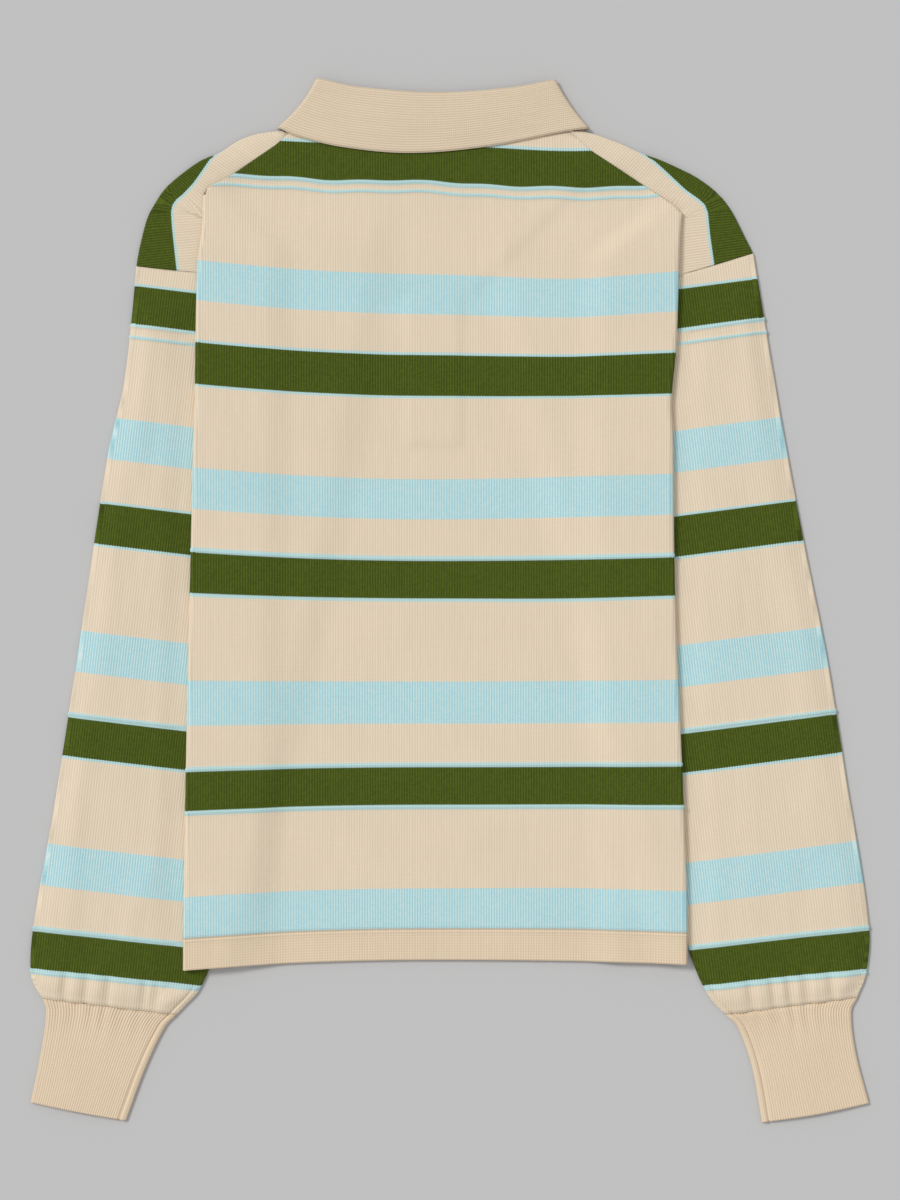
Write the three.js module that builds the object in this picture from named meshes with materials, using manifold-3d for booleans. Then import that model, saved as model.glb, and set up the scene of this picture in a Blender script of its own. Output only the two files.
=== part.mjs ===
import * as THREE from "three";
import Module from "manifold-3d";
import { mergeVertices } from "three/addons/utils/BufferGeometryUtils.js";

// Striped knit rugby shirt laid flat, back up, in millimetres
// X runs across the shirt, Y from hem to collar, Z up from the surface it lies on
// Left and right are the left and right of the view from above

// Cloth and layers
const CLOTH = 1.1;
const GAP = 0.35;
const LAYER = CLOTH + GAP;
const GROUND = CLOTH / 2;
const BACK_EASE = 0.3;
const FOLD_STEPS = 4;
const FOLD_RAISE = { from: -0.2, to: 0.6 };

// Placket on the hidden front, and the slot it fills there
const FRONT_MIDDLE_X = -11.55;
const PLACKET_WIDTH = 29.5;
const SLOT_LEFT_X = FRONT_MIDDLE_X - PLACKET_WIDTH / 2 - GAP;
const SLOT_RIGHT_X = FRONT_MIDDLE_X + PLACKET_WIDTH / 2 + GAP;
const PLACKET_TOP = 295.6;
const PLACKET_BOTTOM = 117;
const PLACKET_THICKNESS = 2 * CLOTH;
const PLACKET_LIFT = 1.1;
const PLACKET_EASE = { from: 2, beside: 8, below: 10 };

// Middle of the whole shirt in the frame of the tables below, moved to the origin at the end
const CENTRE = { x: 0.05, y: 0.9 };

// Colours
const BEIGE = "#dccbb0";
const COLLAR_BEIGE = "#d8c6b0";
const RIB_BEIGE = "#dccbb0";
const BUTTON_CREAM = "#e6dcc6";

// Outer faces of the body's side folds, by height on the shirt
const BODY_SIDES = [
  { y: -270, left: -191.5, right: 171 },
  { y: -216, left: -191, right: 170.5 },
  { y: -130, left: -189.5, right: 167.5 },
  { y: -29, left: -187.5, right: 163 },
  { y: 28, left: -186, right: 161.5 },
  { y: 115, left: -184, right: 160.5 },
  { y: 144, left: -183, right: 159.5 },
  { y: 183, left: -182.5, right: 163 },
  { y: 243, left: -181, right: 165 },
  { y: 265, left: -178, right: 166 },
  { y: 290, left: -177, right: 168.5 },
];

// How the stripes bend: their rise at the left and right fold and in the wave by the right shoulder
const STRIPE_BEND = [
  { y: -259, left: -6.1, wave: 0, right: -2.5 },
  { y: -208, left: -5, wave: 0.7, right: -1.4 },
  { y: -121, left: -2.9, wave: 0, right: 0.7 },
  { y: -60, left: 0.7, wave: 0, right: 1.4 },
  { y: 1, left: 3.6, wave: -0.7, right: 2.2 },
  { y: 29, left: 5.8, wave: 0, right: 2.5 },
  { y: 86, left: 7.9, wave: 0.7, right: 3.6 },
  { y: 147, left: 7.9, wave: -0.7, right: 1.5 },
  { y: 234, left: 9.4, wave: -4.3, right: 2.2 },
  { y: 292, left: 7, wave: -4.3, right: 0 },
];
const STRIPE_MIDDLE_X = -9;
const STRIPE_HALF_WIDTH = 169;
const STRIPE_LIMIT = 1.1;
const WAVE_X = 87;
const WAVE_WIDTH = 60;

// Rows of the body down its middle line; a ridge row is a rolled line of knit
const BODY_ROWS = [
  { y: 315 },
  { y: 298.7, ridge: true },
  { y: 292.2, ridge: true },
  { y: 276 },
  { y: 258.7 },
  { y: 243 },
  { y: 236 },
  { y: 200 },
  { y: 158 },
  { y: 116.4 },
  { y: 72 },
  { y: 29, ridge: true },
  { y: -22 },
  { y: -70 },
  { y: -119, ridge: true },
  { y: -149.2, ridge: true },
  { y: -195 },
  { y: -237.5 },
];
const CLIMB_TOP = 258.7;
const CLIMB_FOOT = 243;
const BACK_CLIMB_TOP = 300;
const NECK_EASE = 20;
const COLLAR_BACK_SHIFT = 10;
const HEM_TOP = -237.5;
const HEM_BOTTOM = -259.3;
const FRONT_HEM_DROP = 1.4;
const FRONT_DROP_X = { from: 60, to: 110 };
const HEM_LINE_RAISE = 0.35;
const HEM_LINE_WIDTH = 3;
const SEAM_EXTRA = 0.05;
const RIDGE_HALF = 1.7;
const RIDGE_HEIGHT = 0.9;
const ROW_STEP = 0.9;

// Columns of the body: distances in from each side fold, and fixed places about the placket
const NECK_INSET = 60;
const COLUMNS_LEFT = [0, 22, 46, NECK_INSET, 80];
const COLUMNS_MIDDLE = [-57, -40, SLOT_LEFT_X, FRONT_MIDDLE_X, SLOT_RIGHT_X, 17, 35, 55];
const COLUMNS_RIGHT = [84, 66, 46, 22, 0];

// Strip of each side that is folded under
const STRIP_COLUMNS = [46, 22];
const STRIP_WIDTH = STRIP_COLUMNS[0];
const LIP_WIDTH = 2.5;
const STRIP_START = 236;
const STRIP_WIDENS = 287;
const STRIP_MARGIN = 2;
const LIFT_BLEND = 11;

// Upper edge of the back: shoulder seams and the neck between them
const APEX_Y = { left: 289, right: 277 };
const EDGE_TRIES = 4;
const BACK_TOP = [
  { x: -178, y: 289 },
  { x: -173, y: 296 },
  { x: -157.5, y: 304 },
  { x: -124, y: 327 },
  { x: -117.5, y: 333.5 },
  { x: -110, y: 338 },
  { x: 80, y: 338 },
  { x: 86, y: 337 },
  { x: 103, y: 321.5 },
  { x: 136.5, y: 299.5 },
  { x: 148, y: 292 },
  { x: 168.5, y: 277 },
];

// Shoulder folds, where the front turns up over the edge, from the neck to the armhole
const SHOULDER_FOLD = {
  left: [
    { x: -119.2, y: 337.2 },
    { x: -139.3, y: 336.5 },
    { x: -153, y: 329.6 },
    { x: -165.2, y: 321 },
    { x: -178.2, y: 315.9 },
    { x: -191.9, y: 306.6 },
    { x: -204.1, y: 296.1 },
    { x: -212, y: 284.6 },
    { x: -217.8, y: 273.1 },
    { x: -222.8, y: 253.7 },
  ],
  right: [
    { x: 90.4, y: 337 },
    { x: 102.6, y: 336.5 },
    { x: 121.3, y: 330.7 },
    { x: 137.2, y: 321 },
    { x: 151.6, y: 315.9 },
    { x: 164.5, y: 310.2 },
    { x: 177.5, y: 303.7 },
    { x: 191.2, y: 293.6 },
    { x: 202, y: 280.7 },
    { x: 212.8, y: 259.8 },
  ],
};
const SHOULDER_ROWS = 3;
const TUCK = 2.3;
const SLIT = 5.7;
const ARMHOLE_W = 46;
const SEAM_CLEARANCE = 1.15 * GAP;

// Sleeves in their own frame: s runs down the sleeve from its outer corner, w runs in to the body
const SLEEVES = {
  left: {
    sign: -1,
    corner: { x: -225, y: 242.9 },
    tilt: 6.9,
    head: [
      { w: 0, s: 3.5 },
      { w: 48, s: 2.8 },
      { w: 170, s: 4.5 },
    ],
    edges: [
      { s: 0, outer: 0, inner: 155 },
      { s: 90, outer: -1, inner: 151 },
      { s: 140, outer: -6, inner: 148 },
      { s: 270, outer: -10.5, inner: 137 },
      { s: 400, outer: -13, inner: 124.5 },
      { s: 485, outer: -16.5, inner: 116 },
      { s: 515, outer: -14.5, inner: 109 },
      { s: 527, outer: -9.5, inner: 102 },
      { s: 534.5, outer: -3.5, inner: 95.5 },
    ],
    cuff: [
      { s: 534.5, outer: -3.5, inner: 95.5 },
      { s: 543, outer: 0, inner: 87 },
      { s: 574, outer: -0.3, inner: 76 },
      { s: 612, outer: -3.3, inner: 66.5 },
    ],
    ridges: [46.2, 54.4, 329.6, 484.5, 514],
    creases: [12, 27, 43, 69.5, 77],
  },
  right: {
    sign: 1,
    corner: { x: 219.2, y: 242.9 },
    tilt: 7.4,
    head: [
      { w: 0, s: -5.8 },
      { w: 78, s: 6.7 },
      { w: 170, s: 7.5 },
    ],
    edges: [
      { s: -6, outer: 0, inner: 166 },
      { s: 72, outer: -3, inner: 158 },
      { s: 115, outer: -4.7, inner: 153 },
      { s: 203, outer: -9.3, inner: 144 },
      { s: 291, outer: -15.3, inner: 134 },
      { s: 378, outer: -17.8, inner: 124 },
      { s: 486, outer: -20.2, inner: 110.5 },
      { s: 519, outer: -12.7, inner: 101 },
      { s: 534.5, outer: -5.5, inner: 90.5 },
    ],
    cuff: [
      { s: 534.5, outer: -5.5, inner: 90.5 },
      { s: 543, outer: 0, inner: 83.5 },
      { s: 572, outer: 0.8, inner: 76.5 },
      { s: 611, outer: -4, inner: 74.3 },
    ],
    ridges: [42.7, 51.4, 329.6, 484.5, 514.5],
    creases: [12, 30, 42, 54, 70],
  },
};
const SLEEVE_ROWS = [24, 110, 190, 265, 400, 500, 522];
const SLEEVE_BOTTOM_COLUMNS = 4;
const SLEEVE_PUFF = 2.2;
const SLEEVE_MARGIN = 24;
const SLEEVE_BLEND = 16;
const HEAD_EASE = 60;
const GATHER_START = 500;
const GATHER_PUFF = 2.2;
const GATHER_DEPTH = 2;
const CREASE_WIDTH = 3.5;
const CREASE_CREST_INSET = { outer: 6, inner: 2 };
const HEAD_SHARE = 0.3;
const RIDGE_CLEAR = { from: 3, to: 9 };
const PUFF_CLEAR = { from: 8, to: 30 };
const PUFF_RIM = { outer: 16, inner: 14 };

// How the sleeve's air, gathers and creases fade towards the cuff, by s
const WRIST_FADES = {
  puff: { from: 520, to: 534, share: 0.6 },
  gather: { from: 522, to: 534, share: 0.7 },
  crease: { from: 522, to: 534, share: 0.5 },
};

// Cuffs: coarse ribs, each for two of the real ones
const CUFF_RIBS = 22;
const RIB_HEIGHT = 0.5;
const CUFF_BOTTOM_COLUMNS = 4;
const CUFF_PUFF = 0.9;

// Collar: a band folded along its top, its stand inside and its leaf outside
const NECK_Y = 338;
const NECK_LEFT = -107;
const NECK_RIGHT = 84;
const NECK_DIP = 42;
const COLLAR_TOP = [
  { f: 0, y: 374.5 },
  { f: 0.17, y: 368.5 },
  { f: 0.5, y: 364.5 },
  { f: 0.82, y: 368 },
  { f: 1, y: 373.5 },
];
const COLLAR_EDGE = [
  { f: 0, y: 338.2 },
  { f: 0.05, y: 333 },
  { f: 0.2, y: 325 },
  { f: 0.42, y: 320.6 },
  { f: 0.67, y: 325 },
  { f: 0.92, y: 335.5 },
  { f: 1, y: 338.2 },
];
const COLLAR_FOLD_SIDES = { left: -94, right: 77.4 };
const COLLAR_EDGE_SIDES = { left: -122.8, right: 100.4 };
const COLLAR_TIP_Y = 258;
const COLLAR_TIP_SPREAD = 30;
const COLLAR_HALF = 110;
const COLLAR_BACK_COLUMNS = 12;
const COLLAR_OPENING = 1;
const COLLAR_FOLD_OPENING = 8;
const COLLAR_LEAF_STEPS = [1, 0.6, 0.25];
const COLLAR_STAND_STEPS = [0.5, 1];
const COLLAR_COLUMN_CLEAR = 6;
const COLLAR_FRONT_SPLIT = { left: 0.48, right: 0.52 };
const COLLAR_TIP_CLEARANCE = 0.2;
const COLLAR_FADE = { from: 36, to: 18 };

// Buttons on the placket
const BUTTON_SIDES = 20;
const BUTTON_HOLE_SIDES = 6;
const BUTTON_RADIUS = 5;
const BUTTON_THICKNESS = 1;
const BUTTON_PLACES = [280, 218, 156];
const BUTTON_HOLE_RADIUS = 0.8;
const BUTTON_HOLE_SPREAD = 1.5;

const lerp = THREE.MathUtils.lerp;

// Rises smoothly from 0 to 1 as x goes from one value to the other, either way round
function smoothstep(from, to, x) {
  const t = THREE.MathUtils.clamp((x - from) / (to - from), 0, 1);
  return t * t * (3 - 2 * t);
}

// Reads one column of a table by another: straight runs between the rows
function straight(rows, key, column, at) {
  if (at <= rows[0][key]) return rows[0][column];
  for (let i = 1; i < rows.length; i += 1) {
    const [a, b] = [rows[i - 1], rows[i]];
    if (at <= b[key]) return lerp(a[column], b[column], (at - a[key]) / (b[key] - a[key]));
  }
  return rows[rows.length - 1][column];
}

// The same with a smooth curve through the rows
function smooth(rows, key, column, at) {
  const last = rows.length - 1;
  if (at <= rows[0][key]) return rows[0][column];
  if (at >= rows[last][key]) return rows[last][column];
  const i = rows.findIndex((row) => at <= row[key]);
  const slope = (k) => {
    const [a, b] = [rows[Math.max(k - 1, 0)], rows[Math.min(k + 1, last)]];
    return (b[column] - a[column]) / (b[key] - a[key]);
  };
  const span = rows[i][key] - rows[i - 1][key];
  const t = (at - rows[i - 1][key]) / span;
  const rise = lerp(rows[i - 1][column], rows[i][column], 3 * t ** 2 - 2 * t ** 3);
  return rise + span * ((t ** 3 - 2 * t ** 2 + t) * slope(i - 1) + (t ** 3 - t ** 2) * slope(i));
}

// A point on the middle of a wall, with the way its outer face looks
function onWall(x, y, z, outward = [0, 0, 1], raise = 0) {
  return { x, y, z, outward, raise };
}

// A wall of cloth from grids of middle points; grids that share points join there
class Wall {
  constructor(thickness = CLOTH) {
    this.thickness = thickness;
    this.points = [];
    this.faces = [];
    this.known = new Map();
  }

  add(point) {
    const key = [point.x, point.y, point.z].map((value) => Math.round(value * 1000)).join(" ");
    if (!this.known.has(key)) {
      this.known.set(key, this.points.length);
      this.points.push(point);
    }
    return this.known.get(key);
  }

  // Adds a grid of points, leaving out the cells that keep() refuses
  patch(grid, keep = () => true) {
    const index = grid.map((row) => row.map((point) => this.add(point)));
    const cells = [];
    let facing = 0;
    for (let i = 0; i + 1 < grid.length; i += 1) {
      for (let j = 0; j + 1 < grid[i].length; j += 1) {
        if (!keep(i, j)) continue;
        const [a, b, c, d] = [index[i][j], index[i][j + 1], index[i + 1][j + 1], index[i + 1][j]];
        cells.push([a, b, c], [a, c, d]);
        facing += this.facing(a, b, c) + this.facing(a, c, d);
      }
    }
    const turned = facing < 0 ? cells.map(([a, b, c]) => [a, c, b]) : cells;
    this.faces.push(...turned.filter(([a, b, c]) => a !== b && b !== c && c !== a));
  }

  facing(a, b, c) {
    const [p, q, r] = [a, b, c].map((i) => {
      const { x, y, z } = this.points[i];
      return new THREE.Vector3(x, y, z);
    });
    const normal = q.sub(p).cross(r.sub(p));
    return normal.dot(new THREE.Vector3(...this.points[a].outward));
  }

  geometry() {
    const half = this.thickness / 2;
    const positions = [];
    for (const side of [1, -1]) {
      for (const { x, y, z, outward, raise } of this.points) {
        const reach = side > 0 ? half + raise : -half;
        positions.push(x + outward[0] * reach, y + outward[1] * reach, z + outward[2] * reach);
      }
    }
    const inner = this.points.length;
    const edges = new Set();
    const triangles = [];
    for (const [a, b, c] of this.faces) {
      triangles.push([a, b, c], [a + inner, c + inner, b + inner]);
      for (const [p, q] of [[a, b], [b, c], [c, a]]) edges.add(`${p} ${q}`);
    }
    for (const edge of edges) {
      const [p, q] = edge.split(" ").map(Number);
      if (!edges.has(`${q} ${p}`)) triangles.push([q, p, p + inner], [q, p + inner, q + inner]);
    }
    const geometry = new THREE.BufferGeometry();
    geometry.setAttribute("position", new THREE.Float32BufferAttribute(positions, 3));
    geometry.setIndex(triangles.flat());
    geometry.computeVertexNormals();
    return geometry;
  }
}

// Half circle of wall from a lower layer to an upper one, bulging along direction
function foldPoints(centreX, centreY, lowZ, highZ, direction, raise = 0) {
  const radius = (highZ - lowZ) / 2;
  const points = [];
  for (let k = 0; k <= FOLD_STEPS; k += 1) {
    const angle = Math.PI * (k / FOLD_STEPS - 0.5);
    const out = Math.cos(angle);
    const [dx, dy] = [direction[0] * out, direction[1] * out];
    const z = (lowZ + highZ) / 2 + radius * Math.sin(angle);
    const lifted = raise * smoothstep(FOLD_RAISE.from, FOLD_RAISE.to, Math.sin(angle));
    const outward = [dx, dy, Math.sin(angle)];
    points.push(onWall(centreX + radius * dx, centreY + radius * dy, z, outward, lifted));
  }
  return points;
}

// Outline and stripes of the body
const bodySide = (side, y) => smooth(BODY_SIDES, "y", side, y);

function stripeY(row, x) {
  const share = (x - STRIPE_MIDDLE_X) / STRIPE_HALF_WIDTH;
  const away = THREE.MathUtils.clamp(share, -STRIPE_LIMIT, STRIPE_LIMIT);
  const side = away < 0 ? "left" : "right";
  const wave = Math.exp(-(((x - WAVE_X) / WAVE_WIDTH) ** 2));
  const bend = smooth(STRIPE_BEND, "y", side, row) * away ** 2;
  return row + bend + smooth(STRIPE_BEND, "y", "wave", row) * wave;
}

// Height of a place along the shirt with the bend of the stripes taken out
const levelY = (x, y) => y - stripeY(CLIMB_TOP, x) + CLIMB_TOP;

// Sleeve frame to plan and back
function sleevePlan(sleeve, s, w) {
  const angle = THREE.MathUtils.degToRad(sleeve.tilt);
  return {
    x: sleeve.corner.x + sleeve.sign * (s * Math.sin(angle) - w * Math.cos(angle)),
    y: sleeve.corner.y - s * Math.cos(angle) - w * Math.sin(angle),
  };
}

function sleeveLocal(sleeve, x, y) {
  const angle = THREE.MathUtils.degToRad(sleeve.tilt);
  const [dx, dy] = [(x - sleeve.corner.x) * sleeve.sign, y - sleeve.corner.y];
  return {
    s: dx * Math.sin(angle) - dy * Math.cos(angle),
    w: -dx * Math.cos(angle) - dy * Math.sin(angle),
  };
}

// How much of the lift over the sleeves and over the folded sides a place has, from 0 to 1
function sleeveCover(x, y) {
  const sleeve = x < STRIPE_MIDDLE_X ? SLEEVES.left : SLEEVES.right;
  const { s, w } = sleeveLocal(sleeve, x, y);
  const inner = smooth(sleeve.edges, "s", "inner", s) + SLEEVE_MARGIN;
  return 1 - smoothstep(inner, inner + SLEEVE_BLEND, w);
}

function stripCover(x, y) {
  const inside = Math.min(x - bodySide("left", y), bodySide("right", y) - x);
  const widening = smoothstep(STRIP_WIDENS, CLIMB_FOOT, levelY(x, y));
  const zone = lerp(LIP_WIDTH, STRIP_WIDTH, widening) + STRIP_MARGIN;
  return 1 - smoothstep(zone, zone + LIFT_BLEND, inside);
}

// The front half of the collar's leaf lies under the front, down to this line
function collarTipLine(x) {
  const away = (Math.abs(x - FRONT_MIDDLE_X) - COLLAR_TIP_SPREAD) / (COLLAR_HALF - COLLAR_TIP_SPREAD);
  return lerp(COLLAR_TIP_Y, NECK_Y, THREE.MathUtils.clamp(away, 0, 1));
}

function collarLift(x, y) {
  const line = collarTipLine(x);
  return LAYER * smoothstep(line - COLLAR_FADE.from, line - COLLAR_FADE.to, y);
}

function placketLift(x, y) {
  const across = Math.abs(x - FRONT_MIDDLE_X) - PLACKET_WIDTH / 2;
  const beside = 1 - smoothstep(PLACKET_EASE.from, PLACKET_EASE.beside, across);
  const below = 1 - smoothstep(PLACKET_EASE.from, PLACKET_EASE.below, PLACKET_BOTTOM - y);
  return PLACKET_LIFT * beside * below;
}

// Middle heights of the layers
function frontHeight(x, y) {
  const climb = smoothstep(CLIMB_TOP, CLIMB_FOOT, levelY(x, y));
  return GROUND + collarLift(x, y) + 2 * LAYER * climb * (sleeveCover(x, y) + stripCover(x, y));
}

function backHeight(x, y) {
  const climb = smoothstep(BACK_CLIMB_TOP, CLIMB_FOOT, levelY(x, y));
  const over = Math.max(collarLift(x, y + COLLAR_BACK_SHIFT), placketLift(x, y));
  const lift = 2 * LAYER * (sleeveCover(x, y) * climb + stripCover(x, y));
  const ease = BACK_EASE * smoothstep(NECK_Y, NECK_Y - NECK_EASE, y);
  return GROUND + LAYER + ease + over + lift;
}

function stripHeight(x, y) {
  return GROUND + 2 * LAYER * (levelY(x, y) > CLIMB_FOOT ? 1 : sleeveCover(x, y));
}

// Places of the body's columns along one row
function columnPlaces(left, right) {
  const xs = COLUMNS_LEFT.map((d) => left + d);
  xs.push((left + COLUMNS_LEFT.at(-1) + COLUMNS_MIDDLE[0]) / 2);
  xs.push(...COLUMNS_MIDDLE);
  xs.push((right - COLUMNS_RIGHT[0] + COLUMNS_MIDDLE.at(-1)) / 2);
  xs.push(...COLUMNS_RIGHT.map((d) => right - d));
  return xs;
}
const NECK_COLUMN_LEFT = COLUMNS_LEFT.indexOf(NECK_INSET);
const NECK_COLUMN_RIGHT = COLUMNS_LEFT.length + COLUMNS_MIDDLE.length + 2;
const SLOT_COLUMN = COLUMNS_LEFT.length + 1 + COLUMNS_MIDDLE.indexOf(SLOT_LEFT_X);

// Plan points of one row, pushed down where the upper edge of the back crosses it
function planRow(row, count) {
  const ends = { left: 0, right: 0 };
  for (const side of ["left", "right"]) {
    let y = Math.min(row, APEX_Y[side]);
    for (let k = 0; k < EDGE_TRIES; k += 1) {
      const x = bodySide(side, y);
      y = Math.min(stripeY(row, x), straight(BACK_TOP, "x", "y", x) - count * ROW_STEP);
    }
    ends[side] = y;
  }
  const [left, right] = [bodySide("left", ends.left), bodySide("right", ends.right)];
  return columnPlaces(left, right).map((x) => {
    const top = straight(BACK_TOP, "x", "y", x);
    const wanted = count === 0 ? top : stripeY(row, x);
    const highest = top - count * ROW_STEP;
    return { x, y: Math.min(wanted, highest), pushed: wanted > highest };
  });
}

// Rows of the back: the upper edge, then each line, three for a ridge
function backRows() {
  const rows = [{ y: NECK_Y, raise: 0 }];
  for (const { y, ridge } of BODY_ROWS) {
    if (ridge) rows.push({ y: y + RIDGE_HALF, raise: 0 });
    rows.push({ y, raise: ridge ? RIDGE_HEIGHT : 0 });
    if (ridge) rows.push({ y: y - RIDGE_HALF, raise: 0 });
  }
  return rows;
}

// One side of a folded body panel: strip, fold and the end of the top layer
function foldedSide(side, edge, topZ, lowZ, shift, width, raise) {
  const sign = side === "left" ? -1 : 1;
  const radius = (topZ - lowZ(edge.x)) / 2;
  const centre = edge.x - sign * shift;
  const strip = STRIP_COLUMNS.map((d) => {
    const x = lerp(centre, edge.x - sign * d, width);
    return onWall(x, edge.y, lowZ(x), [0, 0, -1]);
  });
  return { strip, fold: foldPoints(centre, edge.y, topZ - 2 * radius, topZ, [sign, 0], raise) };
}

// A row of a body panel: strip and fold on the left, top layer, fold and strip on the right
function panelRow(plan, height, low, raise) {
  const ends = { left: plan[0], right: plan[plan.length - 1] };
  const sides = {};
  for (const side of ["left", "right"]) {
    const edge = ends[side];
    const topZ = height(edge.x, edge.y);
    const shift = (topZ - low.height(edge.x, edge.y)) / 2 + low.reach;
    const lowZ = (x) => low.height(x, edge.y);
    const width = low.width(edge.x, edge.y);
    sides[side] = foldedSide(side, edge, topZ, lowZ, shift, width, edge.pushed ? 0 : raise);
  }
  const middle = plan.slice(1, -1).map(({ x, y, pushed }) => {
    return onWall(x, y, height(x, y), [0, 0, 1], pushed ? 0 : raise);
  });
  const right = [...sides.right.strip, ...sides.right.fold].reverse();
  return [...sides.left.strip, ...sides.left.fold, ...middle, ...right];
}

const LIP = LIP_WIDTH / STRIP_WIDTH;

function backStripWidth(x, y) {
  return lerp(LIP, 1, smoothstep(CLIMB_FOOT, STRIP_START, levelY(x, y)));
}

const BACK_FOLD = { height: stripHeight, width: backStripWidth, reach: CLOTH / 2 };
const FRONT_FOLD = {
  height: (x, y) => stripHeight(x, y) + LAYER,
  width: () => 1,
  reach: CLOTH / 2 + LAYER + BACK_EASE / 2,
};

function backRow(row, count) {
  return panelRow(planRow(row.y, count), backHeight, BACK_FOLD, row.raise);
}

// The front's outer face looks down, and its sides fold inside those of the back
function frontRow(row, count) {
  return panelRow(planRow(row, count), frontHeight, FRONT_FOLD, 0).map(flipped);
}

function makeBack() {
  const wall = new Wall();
  wall.patch(backRows().map(backRow));
  return wall.geometry();
}

// Neck edge of the front, which dips to its middle
function neckDip(x) {
  const share = THREE.MathUtils.clamp((x - NECK_LEFT) / (NECK_RIGHT - NECK_LEFT), 0, 1);
  return NECK_DIP * Math.sin(Math.PI * share) ** 2;
}

// The way out of a line through its neighbours, on the upper outer side of the shoulder
function outwardAt(points, i, sign) {
  const [a, b] = [points[Math.max(i - 1, 0)], points[Math.min(i + 1, points.length - 1)]];
  const length = Math.hypot(b.x - a.x, b.y - a.y);
  return [(sign * Math.abs(b.y - a.y)) / length, Math.abs(b.x - a.x) / length];
}

// Shoulder of the front on one side: cap on top, fold, and the layer beneath
function shoulderGrid(side, climbRow) {
  const sleeve = SLEEVES[side];
  const sign = sleeve.sign;
  const topRow = planRow(NECK_Y, 0);
  const neckColumn = side === "left" ? NECK_COLUMN_LEFT : NECK_COLUMN_RIGHT;
  const along = side === "left" ? range(neckColumn, 0) : range(neckColumn, topRow.length - 1);
  const armhole = (w) => {
    const s = straight(sleeve.head, "w", "s", w) - GAP;
    return sleevePlan(sleeve, s, w);
  };
  const folds = [...SHOULDER_FOLD[side], armhole(0)];
  const seamTop = along.map((column) => topRow[column]);
  const tip = seamTop.at(-1);
  const tuckX = (y) => bodySide(side, y) - sign * TUCK;
  const sideSteps = folds.length - seamTop.length;
  const nearFoot = armhole(ARMHOLE_W);
  const foot = sleeveLocal(sleeve, tuckX(nearFoot.y), nearFoot.y).w;
  const end = armhole(foot);
  const seam = seamTop.map((point, i) => {
    const [dx, dy] = outwardAt(seamTop, i, sign);
    return { x: point.x + dx * SEAM_CLEARANCE, y: point.y + dy * SEAM_CLEARANCE };
  });
  const inner = along.map((column) => climbRow[column]);
  const apex = inner.at(-1);
  const slitEnd = armhole(foot - TUCK / 2);
  for (let k = 1; k <= sideSteps; k += 1) {
    const y = lerp(tip.y, end.y, k / sideSteps);
    seam.push(k === sideSteps ? end : { x: tuckX(y), y });
    inner.push({ x: lerp(apex.x, slitEnd.x, k / sideSteps), y: lerp(apex.y, slitEnd.y, k / sideSteps) });
  }
  const tilt = THREE.MathUtils.degToRad(sleeve.tilt);
  const reach = LAYER / 2 + CLOTH / 2;
  return folds.map((fold, i) => {
    const atSleeve = i === folds.length - 1;
    const out = atSleeve ? [sign * Math.cos(tilt), Math.sin(tilt)] : outwardAt(folds, i, sign);
    const [cx, cy] = [fold.x - out[0] * reach, fold.y - out[1] * reach];
    const low = GROUND + collarLift(fold.x, fold.y);
    const row = [];
    for (let k = SHOULDER_ROWS; k > 0; k -= 1) {
      const x = lerp(cx, seam[i].x, k / SHOULDER_ROWS);
      const y = lerp(cy, seam[i].y, k / SHOULDER_ROWS);
      row.push(onWall(x, y, GROUND + LAYER + collarLift(x, y)));
    }
    row.push(...foldPoints(cx, cy, low, low + LAYER, out).reverse());
    for (let k = 1; k <= SHOULDER_ROWS; k += 1) {
      const x = lerp(cx, inner[i].x, k / SHOULDER_ROWS);
      const y = lerp(cy, inner[i].y, k / SHOULDER_ROWS);
      row.push(onWall(x, y, GROUND + collarLift(x, y), [0, 0, -1]));
    }
    return row;
  });
}

function range(from, to) {
  const step = Math.sign(to - from);
  return Array.from({ length: Math.abs(to - from) + 1 }, (_, i) => from + i * step);
}

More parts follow.
